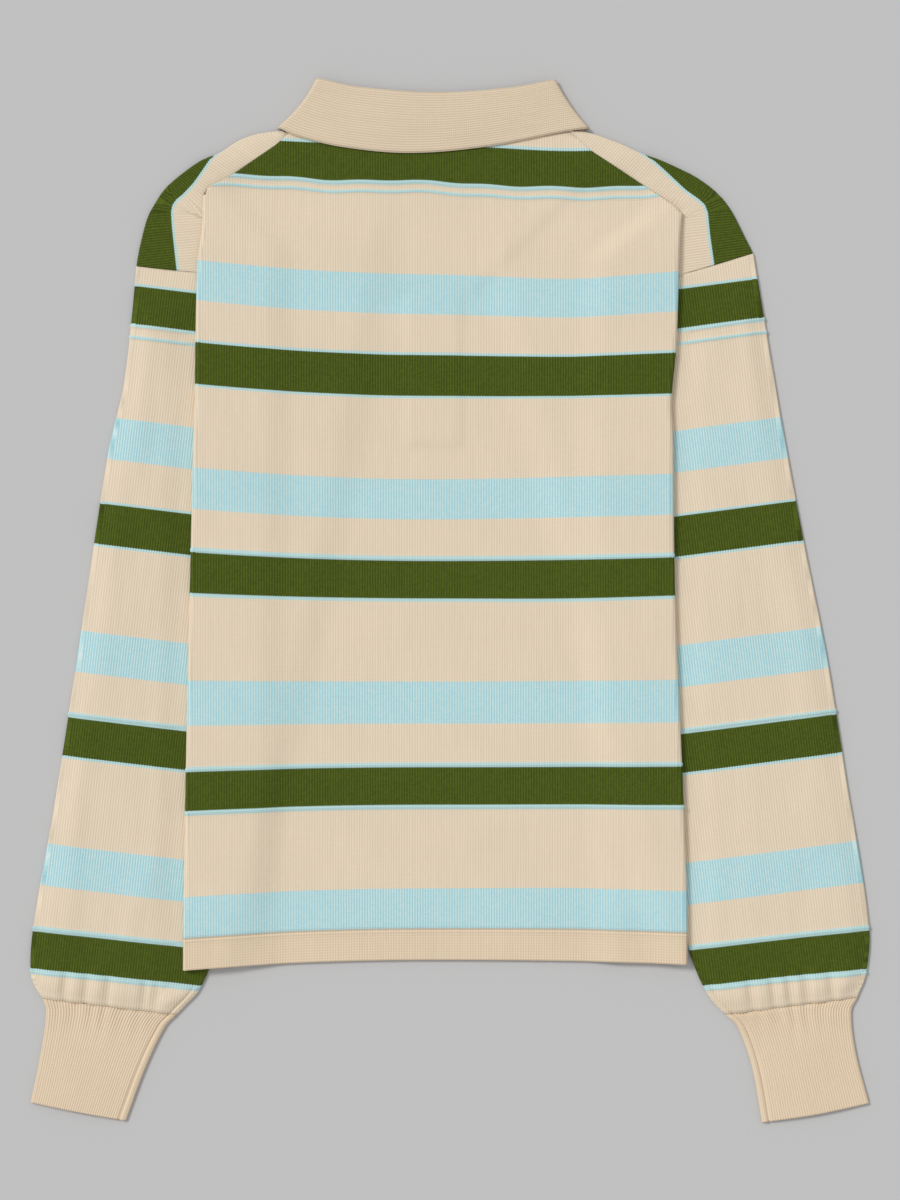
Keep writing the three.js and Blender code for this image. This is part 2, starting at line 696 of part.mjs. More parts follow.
// The front: shoulders, the middle between them, the climb over the sleeves, and the lower body
function makeFront() {
  const wall = new Wall();
  const climbRow = planRow(CLIMB_TOP, 1);
  const last = climbRow.length - 1;
  const slit = (row) => {
    const points = planRow(row, 1).map(({ x, y }) => ({ x, y }));
    points[0].x += SLIT;
    points[last].x -= SLIT;
    return points;
  };
  const climb = slit(CLIMB_TOP);
  const shoulders = { left: shoulderGrid("left", climb), right: shoulderGrid("right", climb) };
  for (const side of ["left", "right"]) wall.patch(shoulders[side]);
  const columns = range(NECK_COLUMN_LEFT, NECK_COLUMN_RIGHT);
  const neckRow = planRow(NECK_Y, 0);
  const upper = [];
  for (let k = 0; k <= SHOULDER_ROWS; k += 1) {
    upper.push(columns.map((column, j) => {
      if (j === 0) return shoulders.left[0][SHOULDER_ROWS + FOLD_STEPS + k];
      if (j === columns.length - 1) return shoulders.right[0][SHOULDER_ROWS + FOLD_STEPS + k];
      const { x } = neckRow[column];
      const y = lerp(NECK_Y - neckDip(x), climb[column].y, k / SHOULDER_ROWS);
      const px = lerp(x, climb[column].x, k / SHOULDER_ROWS);
      return onWall(px, y, GROUND + collarLift(px, y), [0, 0, -1]);
    }));
  }
  const slotStart = SLOT_COLUMN - NECK_COLUMN_LEFT;
  wall.patch(upper, (i, j) => j < slotStart || j > slotStart + 1);
  const rows = BODY_ROWS.map((row) => row.y).filter((y) => y <= CLIMB_TOP);
  const sideSteps = STRIP_COLUMNS.length + FOLD_STEPS;
  const sheet = rows.map((row) => {
    if (row < CLIMB_FOOT) return frontRow(row, 1).slice(sideSteps, -sideSteps);
    return slit(row).map(({ x, y }) => onWall(x, y, frontHeight(x, y), [0, 0, -1]));
  });
  const slotRows = rows.filter((y) => y >= PLACKET_BOTTOM - 1).length - 1;
  wall.patch(sheet, (i, j) => i >= slotRows || j < SLOT_COLUMN || j > SLOT_COLUMN + 1);
  const folded = rows.filter((y) => y < CLIMB_FOOT).map((row) => frontRow(row, 1));
  wall.patch(folded.map((row) => row.slice(0, sideSteps + 1)));
  wall.patch(folded.map((row) => row.slice(-sideSteps - 1)));
  return wall.geometry();
}

// The front shows its other face: what looks up in the body is its inside
function flipped(point) {
  return { ...point, outward: point.outward.map((value) => -value) };
}

// Hem bands go on from the panels' rows
function makeHem(kind) {
  const wall = new Wall();
  const rows = [
    { y: HEM_TOP - GAP - SEAM_EXTRA, raise: HEM_LINE_RAISE },
    { y: HEM_TOP - HEM_LINE_WIDTH, raise: 0 },
    { y: HEM_BOTTOM, raise: 0 },
  ];
  if (kind === "back") {
    wall.patch(rows.map((row) => backRow(row, 1)));
    return wall.geometry();
  }
  const lowered = frontRow(HEM_BOTTOM, 1).map((point) => {
    const drop = FRONT_HEM_DROP * smoothstep(FRONT_DROP_X.from, FRONT_DROP_X.to, point.x);
    return { ...point, y: point.y - drop };
  });
  wall.patch([frontRow(rows[0].y, 1), lowered]);
  return wall.geometry();
}

// How far a place lies outside the body, to the side or below the hem
function outsideBody(sleeve, x, y) {
  const side = sleeve.sign < 0 ? "left" : "right";
  const beside = (x - bodySide(side, y)) * sleeve.sign;
  return Math.max(beside, stripeY(HEM_BOTTOM, x) - FRONT_HEM_DROP - y);
}

// Height added to the top of a sleeve: air inside it, and the gathers at the wrist
function sleevePuff(sleeve, s, w, outer, inner, place) {
  const clear = smoothstep(PUFF_CLEAR.from, PUFF_CLEAR.to, outsideBody(sleeve, place.x, place.y));
  const rim = smoothstep(0, PUFF_RIM.outer, w - outer) * smoothstep(0, PUFF_RIM.inner, inner - w);
  const wrist = smoothstep(GATHER_START, WRIST_FADES.puff.from, s);
  const fade = ({ from, to, share }) => 1 - share * smoothstep(from, to, s);
  const dips = sleeve.creases.map((at) => Math.exp(-(((w - at) / CREASE_WIDTH) ** 2)));
  const body = SLEEVE_PUFF * smoothstep(0, HEAD_EASE, s) * fade(WRIST_FADES.puff);
  const gather = GATHER_PUFF * wrist * fade(WRIST_FADES.gather);
  const crease = GATHER_DEPTH * wrist * Math.max(...dips) * fade(WRIST_FADES.crease);
  return clear * rim * (body + gather - crease);
}

// Fractions across the top of a sleeve: each crease and the crest beside it
function creaseFractions(sleeve) {
  const { outer, inner } = sleeve.edges.at(-1);
  const marks = [outer + CREASE_CREST_INSET.outer];
  sleeve.creases.forEach((at, i) => {
    marks.push(at);
    const next = sleeve.creases[i + 1] ?? inner - CREASE_CREST_INSET.inner;
    marks.push((at + next) / 2);
  });
  return marks.map((w) => (w - outer) / (inner - outer));
}

// One ring of a flattened tube: bottom layer, outer fold, top layer, inner fold
function tubeRing(sleeve, sAt, outer, inner, fractions, bottomCount, topAt) {
  const reach = LAYER / 2 + CLOTH / 2;
  const [from, to] = [outer + reach, inner - reach];
  const place = (w) => sleevePlan(sleeve, sAt(w), w);
  const angle = THREE.MathUtils.degToRad(sleeve.tilt);
  const out = [sleeve.sign * Math.cos(angle), Math.sin(angle)];
  const ring = [];
  for (let k = 1; k < bottomCount; k += 1) {
    const { x, y } = place(lerp(to, from, k / bottomCount));
    ring.push(onWall(x, y, GROUND, [0, 0, -1]));
  }
  const start = place(from);
  ring.push(...foldPoints(start.x, start.y, GROUND, GROUND + LAYER, out, topAt(from).raise));
  for (const f of fractions) {
    const w = lerp(from, to, f);
    const { x, y } = place(w);
    const { lift, raise } = topAt(w);
    ring.push(onWall(x, y, GROUND + LAYER + lift, [0, 0, 1], raise));
  }
  const end = place(to);
  const back = out.map((value) => -value);
  ring.push(...foldPoints(end.x, end.y, GROUND, GROUND + LAYER, back, 0).reverse());
  ring.push(ring[0]);
  return ring;
}

function makeSleeve(side) {
  const sleeve = SLEEVES[side];
  const fractions = creaseFractions(sleeve);
  const end = sleeve.edges.at(-1).s - GAP / 2;
  const rows = [{ s: 0, head: true }, ...SLEEVE_ROWS.map((s) => ({ s })), { s: end }];
  for (const s of sleeve.ridges) {
    rows.push({ s: s - RIDGE_HALF }, { s, ridge: true }, { s: s + RIDGE_HALF });
  }
  rows.sort((a, b) => a.s - b.s);
  const wall = new Wall();
  wall.patch(rows.map((row) => {
    const sAt = (w) => {
      const head = straight(sleeve.head, "w", "s", w);
      return row.head ? head : row.s + head * HEAD_SHARE * smoothstep(HEAD_EASE, 0, row.s);
    };
    const [outer, inner] = ["outer", "inner"].map((edge) => smooth(sleeve.edges, "s", edge, row.s));
    const topAt = (w) => {
      const place = sleevePlan(sleeve, sAt(w), w);
      const outside = outsideBody(sleeve, place.x, place.y);
      const clear = smoothstep(RIDGE_CLEAR.from, RIDGE_CLEAR.to, outside);
      const lift = sleevePuff(sleeve, row.s, w, outer, inner, place);
      return { lift, raise: row.ridge ? RIDGE_HEIGHT * clear : 0 };
    };
    return tubeRing(sleeve, sAt, outer, inner, fractions, SLEEVE_BOTTOM_COLUMNS, topAt);
  }));
  return wall.geometry();
}

function makeCuff(side) {
  const sleeve = SLEEVES[side];
  const fractions = [];
  for (let k = 1; k < 2 * CUFF_RIBS; k += 1) fractions.push(k / (2 * CUFF_RIBS));
  const start = sleeve.cuff[0].s + GAP / 2;
  const rows = sleeve.cuff.map((row, i) => (i === 0 ? { ...row, s: start } : row));
  const wall = new Wall();
  wall.patch(rows.map(({ s, outer, inner }) => {
    const topAt = (w) => {
      const f = (w - outer - LAYER / 2 - CLOTH / 2) / (inner - outer - LAYER - CLOTH);
      const crest = Math.round(f * 2 * CUFF_RIBS) % 2 !== 0;
      const lift = CUFF_PUFF * Math.sin(Math.PI * THREE.MathUtils.clamp(f, 0, 1));
      return { lift, raise: crest ? RIB_HEIGHT : 0 };
    };
    return tubeRing(sleeve, () => s, outer, inner, fractions, CUFF_BOTTOM_COLUMNS, topAt);
  }));
  return wall.geometry();
}

// Collar: the rows run down the leaf, over the fold and down the stand, the columns round the neck
function makeCollar() {
  const middleZ = GROUND + 1.5 * LAYER;
  const rows = [];
  for (const k of COLLAR_LEAF_STEPS) rows.push({ leaf: true, k, r: 1.5 * LAYER });
  for (let k = 0; k <= FOLD_STEPS; k += 1) {
    const angle = (Math.PI * k) / FOLD_STEPS;
    rows.push({ turn: angle, r: LAYER + (LAYER / 2) * Math.cos(angle), k: 0 });
  }
  for (const k of COLLAR_STAND_STEPS) rows.push({ stand: true, k, r: 0.5 * LAYER });
  const [from, to] = [NECK_LEFT + COLLAR_COLUMN_CLEAR, NECK_RIGHT - COLLAR_COLUMN_CLEAR];
  const bodyColumns = planRow(NECK_Y, 0).map(({ x }) => x).filter((x) => x > from && x < to);
  const seamFractions = bodyColumns.map((x) => (x - NECK_LEFT) / (NECK_RIGHT - NECK_LEFT));
  const leftFront = seamFractions.filter((f) => f < COLLAR_FRONT_SPLIT.left).reverse();
  const rightFront = seamFractions.filter((f) => f > COLLAR_FRONT_SPLIT.right).reverse();
  const wall = new Wall();
  wall.patch(rows.map((row) => collarRow(row, middleZ, leftFront, rightFront)));
  return wall.geometry();
}

// One row of the collar all round the neck, from the left of its opening to the right
function collarRow(row, middleZ, leftFront, rightFront) {
  const foldDepth = LAYER / 2 + CLOTH / 2;
  const topSides = COLLAR_FOLD_SIDES;
  const footSides = row.stand ? { left: NECK_LEFT, right: NECK_RIGHT } : COLLAR_EDGE_SIDES;
  const deep = row.leaf ? 0 : 1.5 * LAYER - row.r;
  const inset = (row.stand ? deep * (1 - row.k) : deep) + CLOTH / 2;
  const left = lerp(topSides.left, footSides.left, row.k) + inset;
  const right = lerp(topSides.right, footSides.right, row.k) - inset;
  const bulge = row.turn === undefined ? 0 : (LAYER / 2) * Math.sin(row.turn);
  const turned = row.turn ?? (row.leaf ? 0 : Math.PI);
  const facing = [Math.cos(turned), Math.sin(turned)];
  const yAt = (f, front) => {
    const dip = front ? NECK_DIP * Math.sin(Math.PI * f) ** 2 : 0;
    const top = smooth(COLLAR_TOP, "f", "y", f) - foldDepth - dip + bulge;
    if (row.stand) return lerp(top, NECK_Y + GAP + SEAM_EXTRA - dip, row.k);
    const edgeX = lerp(COLLAR_EDGE_SIDES.left, COLLAR_EDGE_SIDES.right, f);
    const edge = front ? collarTipLine(edgeX) + COLLAR_TIP_CLEARANCE : smooth(COLLAR_EDGE, "f", "y", f);
    return lerp(top, edge, row.k);
  };
  const onRing = (f, front) => {
    const x = lerp(left + row.r, right - row.r, f);
    const sign = front ? -1 : 1;
    return onWall(x, yAt(f, front), middleZ + sign * row.r, [0, facing[1], sign * facing[0]]);
  };
  const turnRing = (side, angle) => {
    const sign = side === "left" ? -1 : 1;
    const centre = side === "left" ? left + row.r : right - row.r;
    const [out, up] = [Math.cos(angle), Math.sin(angle)];
    const y = yAt(side === "left" ? 0 : 1, false);
    const outward = [sign * out * facing[0], facing[1], up * facing[0]];
    return onWall(centre + sign * out * row.r, y, middleZ + up * row.r, outward);
  };
  const opening = row.stand ? COLLAR_OPENING : lerp(COLLAR_FOLD_OPENING, COLLAR_TIP_SPREAD, row.k);
  const folding = lerp(COLLAR_FOLD_OPENING, COLLAR_OPENING, turned / Math.PI);
  const span = right - left - 2 * row.r;
  const gapF = (row.turn === undefined ? opening : folding) / span;
  const points = [];
  const squeeze = (f) => (f < 0.5 ? f * (1 - 2 * gapF) : 1 - (1 - f) * (1 - 2 * gapF));
  points.push(onRing(0.5 - gapF, true));
  for (const f of leftFront) points.push(onRing(row.stand && row.k === 1 ? f : squeeze(f), true));
  for (let k = 0; k <= FOLD_STEPS; k += 1) points.push(turnRing("left", Math.PI * (k / FOLD_STEPS - 0.5)));
  for (let k = 1; k < COLLAR_BACK_COLUMNS; k += 1) points.push(onRing(k / COLLAR_BACK_COLUMNS, false));
  for (let k = FOLD_STEPS; k >= 0; k -= 1) points.push(turnRing("right", Math.PI * (k / FOLD_STEPS - 0.5)));
  for (const f of rightFront) points.push(onRing(row.stand && row.k === 1 ? f : squeeze(f), true));
  points.push(onRing(0.5 + gapF, true));
  return points;
}

// Solid of the manifold library from a closed geometry, and back
const wasm = await Module();
wasm.setup();

function toSolid(geometry) {
  const bare = geometry.clone();
  bare.deleteAttribute("normal");
  bare.deleteAttribute("uv");
  const merged = mergeVertices(bare, 1e-4);
  const vertProperties = new Float32Array(merged.attributes.position.array);
  const triVerts = new Uint32Array(merged.index.array);
  return new wasm.Manifold(new wasm.Mesh({ numProp: 3, vertProperties, triVerts }));
}

function toGeometry(solid) {
  const mesh = solid.getMesh();
  const geometry = new THREE.BufferGeometry();
  geometry.setAttribute("position", new THREE.Float32BufferAttribute(mesh.vertProperties, 3));
  geometry.setIndex([...mesh.triVerts]);
  geometry.computeVertexNormals();
  return geometry;
}

function disc(radius, height, sides, x, y, z) {
  const geometry = new THREE.CylinderGeometry(radius, radius, height, sides);
  geometry.rotateX(Math.PI / 2);
  geometry.translate(x, y, z);
  return toSolid(geometry);
}

// Placket of two pressed layers, with a hollow in its face round each button
function makePlacket() {
  const length = PLACKET_TOP - PLACKET_BOTTOM;
  const strip = new THREE.BoxGeometry(PLACKET_WIDTH, length, PLACKET_THICKNESS);
  strip.translate(FRONT_MIDDLE_X, (PLACKET_TOP + PLACKET_BOTTOM) / 2, PLACKET_THICKNESS / 2);
  let solid = toSolid(strip);
  const depth = BUTTON_THICKNESS + GAP;
  for (const y of BUTTON_PLACES) {
    solid = solid.subtract(disc(BUTTON_RADIUS + GAP, 2 * depth, BUTTON_SIDES, FRONT_MIDDLE_X, y, 0));
  }
  return toGeometry(solid);
}

function makeButton(y) {
  const middleZ = BUTTON_THICKNESS / 2;
  let solid = disc(BUTTON_RADIUS, BUTTON_THICKNESS, BUTTON_SIDES, FRONT_MIDDLE_X, y, middleZ);
  for (const dx of [-1, 1]) {
    for (const dy of [-1, 1]) {
      const x = FRONT_MIDDLE_X + dx * BUTTON_HOLE_SPREAD;
      const holeY = y + dy * BUTTON_HOLE_SPREAD;
      const hole = disc(BUTTON_HOLE_RADIUS, 3 * BUTTON_THICKNESS, BUTTON_HOLE_SIDES, x, holeY, 0);
      solid = solid.subtract(hole);
    }
  }
  return toGeometry(solid);
}

// Every piece with its finish
function piece(name, geometry, color, roughness = 0.95) {
  const material = new THREE.MeshStandardMaterial({ color, roughness, metalness: 0 });
  const mesh = new THREE.Mesh(geometry, material);
  mesh.name = name;
  return mesh;
}

const shirt = new THREE.Group();
shirt.position.set(-CENTRE.x, -CENTRE.y, 0);
shirt.add(piece("back", makeBack(), BEIGE));
shirt.add(piece("front", makeFront(), BEIGE));
shirt.add(piece("hem_back", makeHem("back"), RIB_BEIGE));
shirt.add(piece("hem_front", makeHem("front"), RIB_BEIGE));
for (const side of ["left", "right"]) {
  shirt.add(piece(`sleeve_${side}`, makeSleeve(side), BEIGE));
  shirt.add(piece(`cuff_${side}`, makeCuff(side), RIB_BEIGE));
}
shirt.add(piece("collar", makeCollar(), COLLAR_BEIGE));
shirt.add(piece("placket", makePlacket(), BEIGE));
BUTTON_PLACES.forEach((y, i) => {
  shirt.add(piece(`button_${i + 1}`, makeButton(y), BUTTON_CREAM, 0.4));
});

export default shirt;
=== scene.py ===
import math

import bpy
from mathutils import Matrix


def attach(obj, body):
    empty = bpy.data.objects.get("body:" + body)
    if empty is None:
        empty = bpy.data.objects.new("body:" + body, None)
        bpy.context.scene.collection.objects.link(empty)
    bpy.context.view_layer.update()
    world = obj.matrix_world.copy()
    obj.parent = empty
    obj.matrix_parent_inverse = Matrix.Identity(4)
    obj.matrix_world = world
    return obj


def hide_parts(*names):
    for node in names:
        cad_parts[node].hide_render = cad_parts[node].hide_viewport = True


bl_info = {
    "name": "Knit Shirt Laid Flat",
    "version": (1, 0, 0),
    "blender": (4, 5, 0),
    "location": "View3D > Sidebar > Shirt",
    "description": "Dresses the frame of a striped knit shirt that lies flat on its front",
    "category": "Object",
}

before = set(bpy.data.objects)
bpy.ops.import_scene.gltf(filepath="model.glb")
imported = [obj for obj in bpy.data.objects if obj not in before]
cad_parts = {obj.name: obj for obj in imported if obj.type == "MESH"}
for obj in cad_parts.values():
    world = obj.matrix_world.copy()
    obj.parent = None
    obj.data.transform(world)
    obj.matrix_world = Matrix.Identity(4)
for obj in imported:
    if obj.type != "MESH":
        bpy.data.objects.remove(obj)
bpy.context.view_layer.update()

# Lengths below are in millimetres in the part's own drawing frame, which is moved by CENTRE
MM = 0.001
CENTRE = (0.05, 0.9)

# Cloth and layers
CLOTH = 1.1
GAP = 0.35
LAYER = CLOTH + GAP
GROUND = CLOTH / 2
BACK_EASE = 0.3
FOLD_STEPS = 8
# Sewn edges lie closer in the cloth than in the solids, so that no dark gap shows
SEAM_GAP = 0.04
SEAM_EXTRA = 0.05

# Side folds of the body: height, left, right
BODY_SIDES = [
    (-270, -191.5, 171), (-216, -191, 170.5), (-130, -189.5, 167.5), (-29, -187.5, 163),
    (28, -186, 161.5), (115, -184, 160.5), (144, -183, 159.5), (183, -182.5, 163),
    (243, -181, 165), (265, -178, 166), (290, -177, 168.5),
]

# How the stripes bend: height, rise at the left fold, wave by the right shoulder, rise at the right
STRIPE_BEND = [
    (-259, -6.1, 0, -2.5), (-208, -5, 0.7, -1.4), (-121, -2.9, 0, 0.7), (-60, 0.7, 0, 1.4),
    (1, 3.6, -0.7, 2.2), (29, 5.8, 0, 2.5), (86, 7.9, 0.7, 3.6), (147, 7.9, -0.7, 1.5),
    (234, 9.4, -4.3, 2.2), (292, 7, -4.3, 0),
]
STRIPE_MIDDLE_X = -9
STRIPE_HALF_WIDTH = 169
STRIPE_LIMIT = 1.1
WAVE_X = 87
WAVE_WIDTH = 60

# Named levels of the body; the ridges are rolled lines of knit
BODY_LEVELS = [315, 276, 258.7, 243, 236, 200, 158, 116.4, 72, -22, -70, -195, -237.5]
BODY_RIDGES = [298.7, 292.2, 29, -119, -149.2]
RIDGE_OFFSETS = [3, 1.9, 1.1, 0.5, 0, -0.5, -1.1, -1.9, -3]
CLIMB_TOP = 258.7
CLIMB_FOOT = 243
FRONT_START = 236
BACK_CLIMB_TOP = 300
NECK_EASE = 20
COLLAR_BACK_SHIFT = 10
HEM_TOP = -237.5
HEM_BOTTOM = -259.3
FRONT_HEM_DROP = 0.3

# Columns: distances in from each side fold, and fixed places about the placket
FRONT_MIDDLE_X = -11.55
PLACKET_WIDTH = 29.5
SLOT_LEFT_X = FRONT_MIDDLE_X - PLACKET_WIDTH / 2 - GAP
SLOT_RIGHT_X = FRONT_MIDDLE_X + PLACKET_WIDTH / 2 + GAP
PLACKET_BOTTOM = 117
COLUMNS_LEFT = [0, 22, 46, 60, 80]
COLUMNS_MIDDLE = [-57, -40, SLOT_LEFT_X, FRONT_MIDDLE_X, SLOT_RIGHT_X, 17, 35, 55]
COLUMNS_RIGHT = [84, 66, 46, 22, 0]
NECK_MARK_LEFT = 3
NECK_MARK_RIGHT = 15
SLOT_MARK = 8
STRIP_WIDTH = 46
LIP_WIDTH = 2.5
STRIP_START = 236
STRIP_WIDENS = 287
STRIP_MARGIN = 2
LIFT_BLEND = 26

# Upper edge of the back: shoulder seams and the neck between them
APEX_Y = {"left": 289, "right": 277}
BACK_TOP = [
    (-178, 289), (-173, 296), (-157.5, 304), (-124, 327), (-117.5, 333.5), (-110, 338),
    (80, 338), (86, 337), (103, 321.5), (136.5, 299.5), (148, 292), (168.5, 277),
]

# Shoulder folds, where the front turns up over the edge, from the neck to the armhole
SHOULDER_FOLD = {
    "left": [
        (-119.2, 337.2), (-139.3, 334.3), (-153, 329), (-165.2, 321), (-178.2, 315.9),
        (-191.9, 306.6), (-204.1, 296.1), (-212, 284.6), (-217.8, 273.1), (-222.8, 253.7),
    ],
    "right": [
        (90.4, 337), (102.6, 334.8), (121.3, 328.2), (137.2, 321), (151.6, 315.9),
        (164.5, 310.2), (177.5, 303.7), (191.2, 293.6), (202, 280.7), (212.8, 259.8),
    ],
}
# Which place of the fold lies out from each place of the seam: distance in from the side, number
SHOULDER_PAIRS = {
    "left": [(0, 6.3), (22, 3.2), (46, 1.2), (60, 0)],
    "right": [(0, 7.3), (22, 5), (46, 2.8), (66, 1.3), (84, 0)],
}
SHOULDER_ROWS = 20
TUCK = 2.3
SLIT = 5.7
ARMHOLE_W = 46

# Line between the shoulders' beige and green, drawn from the neck down to the armhole seam
CAP_LINE = {
    "left": [
        (-168.6, 320.4), (-183.2, 299.5), (-190.4, 291.6), (-196.2, 286.8), (-198.8, 283), (-199.6, 278),
        (-199, 268), (-195.6, 236.5),
    ],
    "right": [
        (140.5, 320.2), (155.2, 307.3), (169.6, 293.8), (179, 287.2), (183, 283.5), (185.2, 278),
        (186.7, 262.3), (189.7, 241.4),
    ],
}
CAP_LINE_LEVEL = 145.6

# Sleeves in their own frame: s runs down from the outer corner, w runs in to the body
SLEEVES = {
    "left": {
        "side": "left", "sign": -1, "corner": (-225, 242.9), "tilt": 6.9,
        "head": [(0, 3.5), (48, 2.8), (170, 4.5)],
        "edges": [
            (0, 0, 155), (40, 1.2, 153), (90, 1.2, 151), (140, -4, 148), (270, -7.8, 137), (400, -12, 124.5),
            (485, -16.5, 116), (515, -14.5, 107.5), (527, -9.5, 99), (534.5, -3.5, 93.5),
        ],
        "cuff": [(534.5, -3.5, 93.5), (543, 0, 87), (574, -0.3, 76), (612, -3.3, 66.5)],
        "ridges": [46.2, 54.4, 329.6, 484.5, 514],
        "creases": [12, 27, 43, 69.5, 77],
        "first_green": (17.6, 44.8),
        "cuff_slant": [(0, -2.4), (0.5, 0.4), (1, 2.4)],
        "drawn_up": [(0, 0), (240, 0), (330, 1), (480, 1.3), (514, 0), (534.5, 0), (620, 0)],
        "wrist_drop": 2,
    },
    "right": {
        "side": "right", "sign": 1, "corner": (219.2, 242.9), "tilt": 7.4,
        "head": [(0, -5.8), (78, 6.7), (170, 7.5)],
        "edges": [
            (-6, 0, 166), (72, -3, 158), (115, -4.7, 153), (203, -9.3, 144), (291, -15.3, 134),
            (378, -17.8, 124), (486, -20.2, 110.5), (519, -12.7, 101), (534.5, -5.5, 90.5),
        ],
        "cuff": [(534.5, -5.5, 90.5), (543, 0, 83.5), (572, 0.8, 76.5), (611, -4, 74.3)],
        "ridges": [42.7, 51.4, 329.6, 484.5, 514.5],
        "creases": [12, 30, 42, 54, 70],
        "first_green": (12.7, 40.6),
        "cuff_slant": [(0, 0), (0.5, 3), (1, 3.8)],
        "drawn_up": [(0, 0), (130, 0), (200, 1.5), (450, 1.9), (490, 1.2), (514, 0), (534.5, 0), (620, 0)],
        "wrist_drop": 3.2,
    },
}
SLEEVE_PUFF = 2.2
SLEEVE_MARGIN = 5
SLEEVE_BLEND = 28
HEAD_EASE = 60
HEAD_SHARE = 0.3
GATHER_START = 500
GATHER_PUFF = 2.2
GATHER_DEPTH = 2.6
CREASE_WIDTH = 3.5
# The sleeve's seam runs beside its inner edge: a groove and then a rolled edge
SEAM_INSET = 5.2
SEAM_DEPTH = 1
SEAM_OFFSETS = (-1.6, -0.9, -0.4, 0, 0.4, 0.9, 2, 3)
CUFF_RIBS = 42
RIB_PITCH = 2
RIB_HEIGHT = 0.55
CUFF_PUFF = 0.9

# Collar: a band folded along its top, its stand inside and its leaf outside
NECK_Y = 338
NECK_LEFT = -107
NECK_RIGHT = 84
NECK_DIP = 42
COLLAR_TOP = [(0, 374.5), (0.17, 368.5), (0.5, 364.5), (0.82, 368), (1, 373.5)]
COLLAR_EDGE = [
    (0, 338.2), (0.05, 333), (0.2, 325), (0.42, 320.6), (0.67, 325), (0.92, 335.5), (1, 338.2),
]
COLLAR_FOLD_SIDES = (-96.4, 77)
COLLAR_EDGE_SIDES = (-124.4, 100.8)
COLLAR_BOWS = (3, 1.8)
COLLAR_TIP_Y = 258
COLLAR_TIP_SPREAD = 30
COLLAR_HALF = 110
COLLAR_OPENING = 1
COLLAR_FOLD_OPENING = 8


def lerp(a, b, t):
    return a + (b - a) * t


def clamp(x, low, high):
    return max(low, min(high, x))


def smoothstep(start, end, x):
    t = clamp((x - start) / (end - start), 0, 1)
    return t * t * (3 - 2 * t)


def straight(rows, at, column=1):
    """Reads a table by its first column, in straight runs."""
    if at <= rows[0][0]:
        return rows[0][column]
    for a, b in zip(rows, rows[1:]):
        if at <= b[0]:
            return lerp(a[column], b[column], (at - a[0]) / (b[0] - a[0]))
    return rows[-1][column]


def smooth(rows, at, column=1):
    """The same with a smooth curve through the rows."""
    last = len(rows) - 1
    if at <= rows[0][0]:
        return rows[0][column]
    if at >= rows[last][0]:
        return rows[last][column]
    i = next(k for k, row in enumerate(rows) if at <= row[0])

    def slope(k):
        a, b = rows[max(k - 1, 0)], rows[min(k + 1, last)]
        return (b[column] - a[column]) / (b[0] - a[0])

    span = rows[i][0] - rows[i - 1][0]
    t = (at - rows[i - 1][0]) / span
    rise = lerp(rows[i - 1][column], rows[i][column], 3 * t**2 - 2 * t**3)
    return rise + span * ((t**3 - 2 * t**2 + t) * slope(i - 1) + (t**3 - t**2) * slope(i))


def refine(marks, step):
    """Marks with equal steps of about that size between them."""
    out = [marks[0]]
    for a, b in zip(marks, marks[1:]):
        count = max(1, round(abs(b - a) / step))
        out += [lerp(a, b, k / count) for k in range(1, count + 1)]
    return out


def point(x, y, z, outward=(0, 0, 1), raised=0, uv=(0, 0)):
    return {"at": (x, y, z), "out": outward, "raise": raised, "uv": uv}


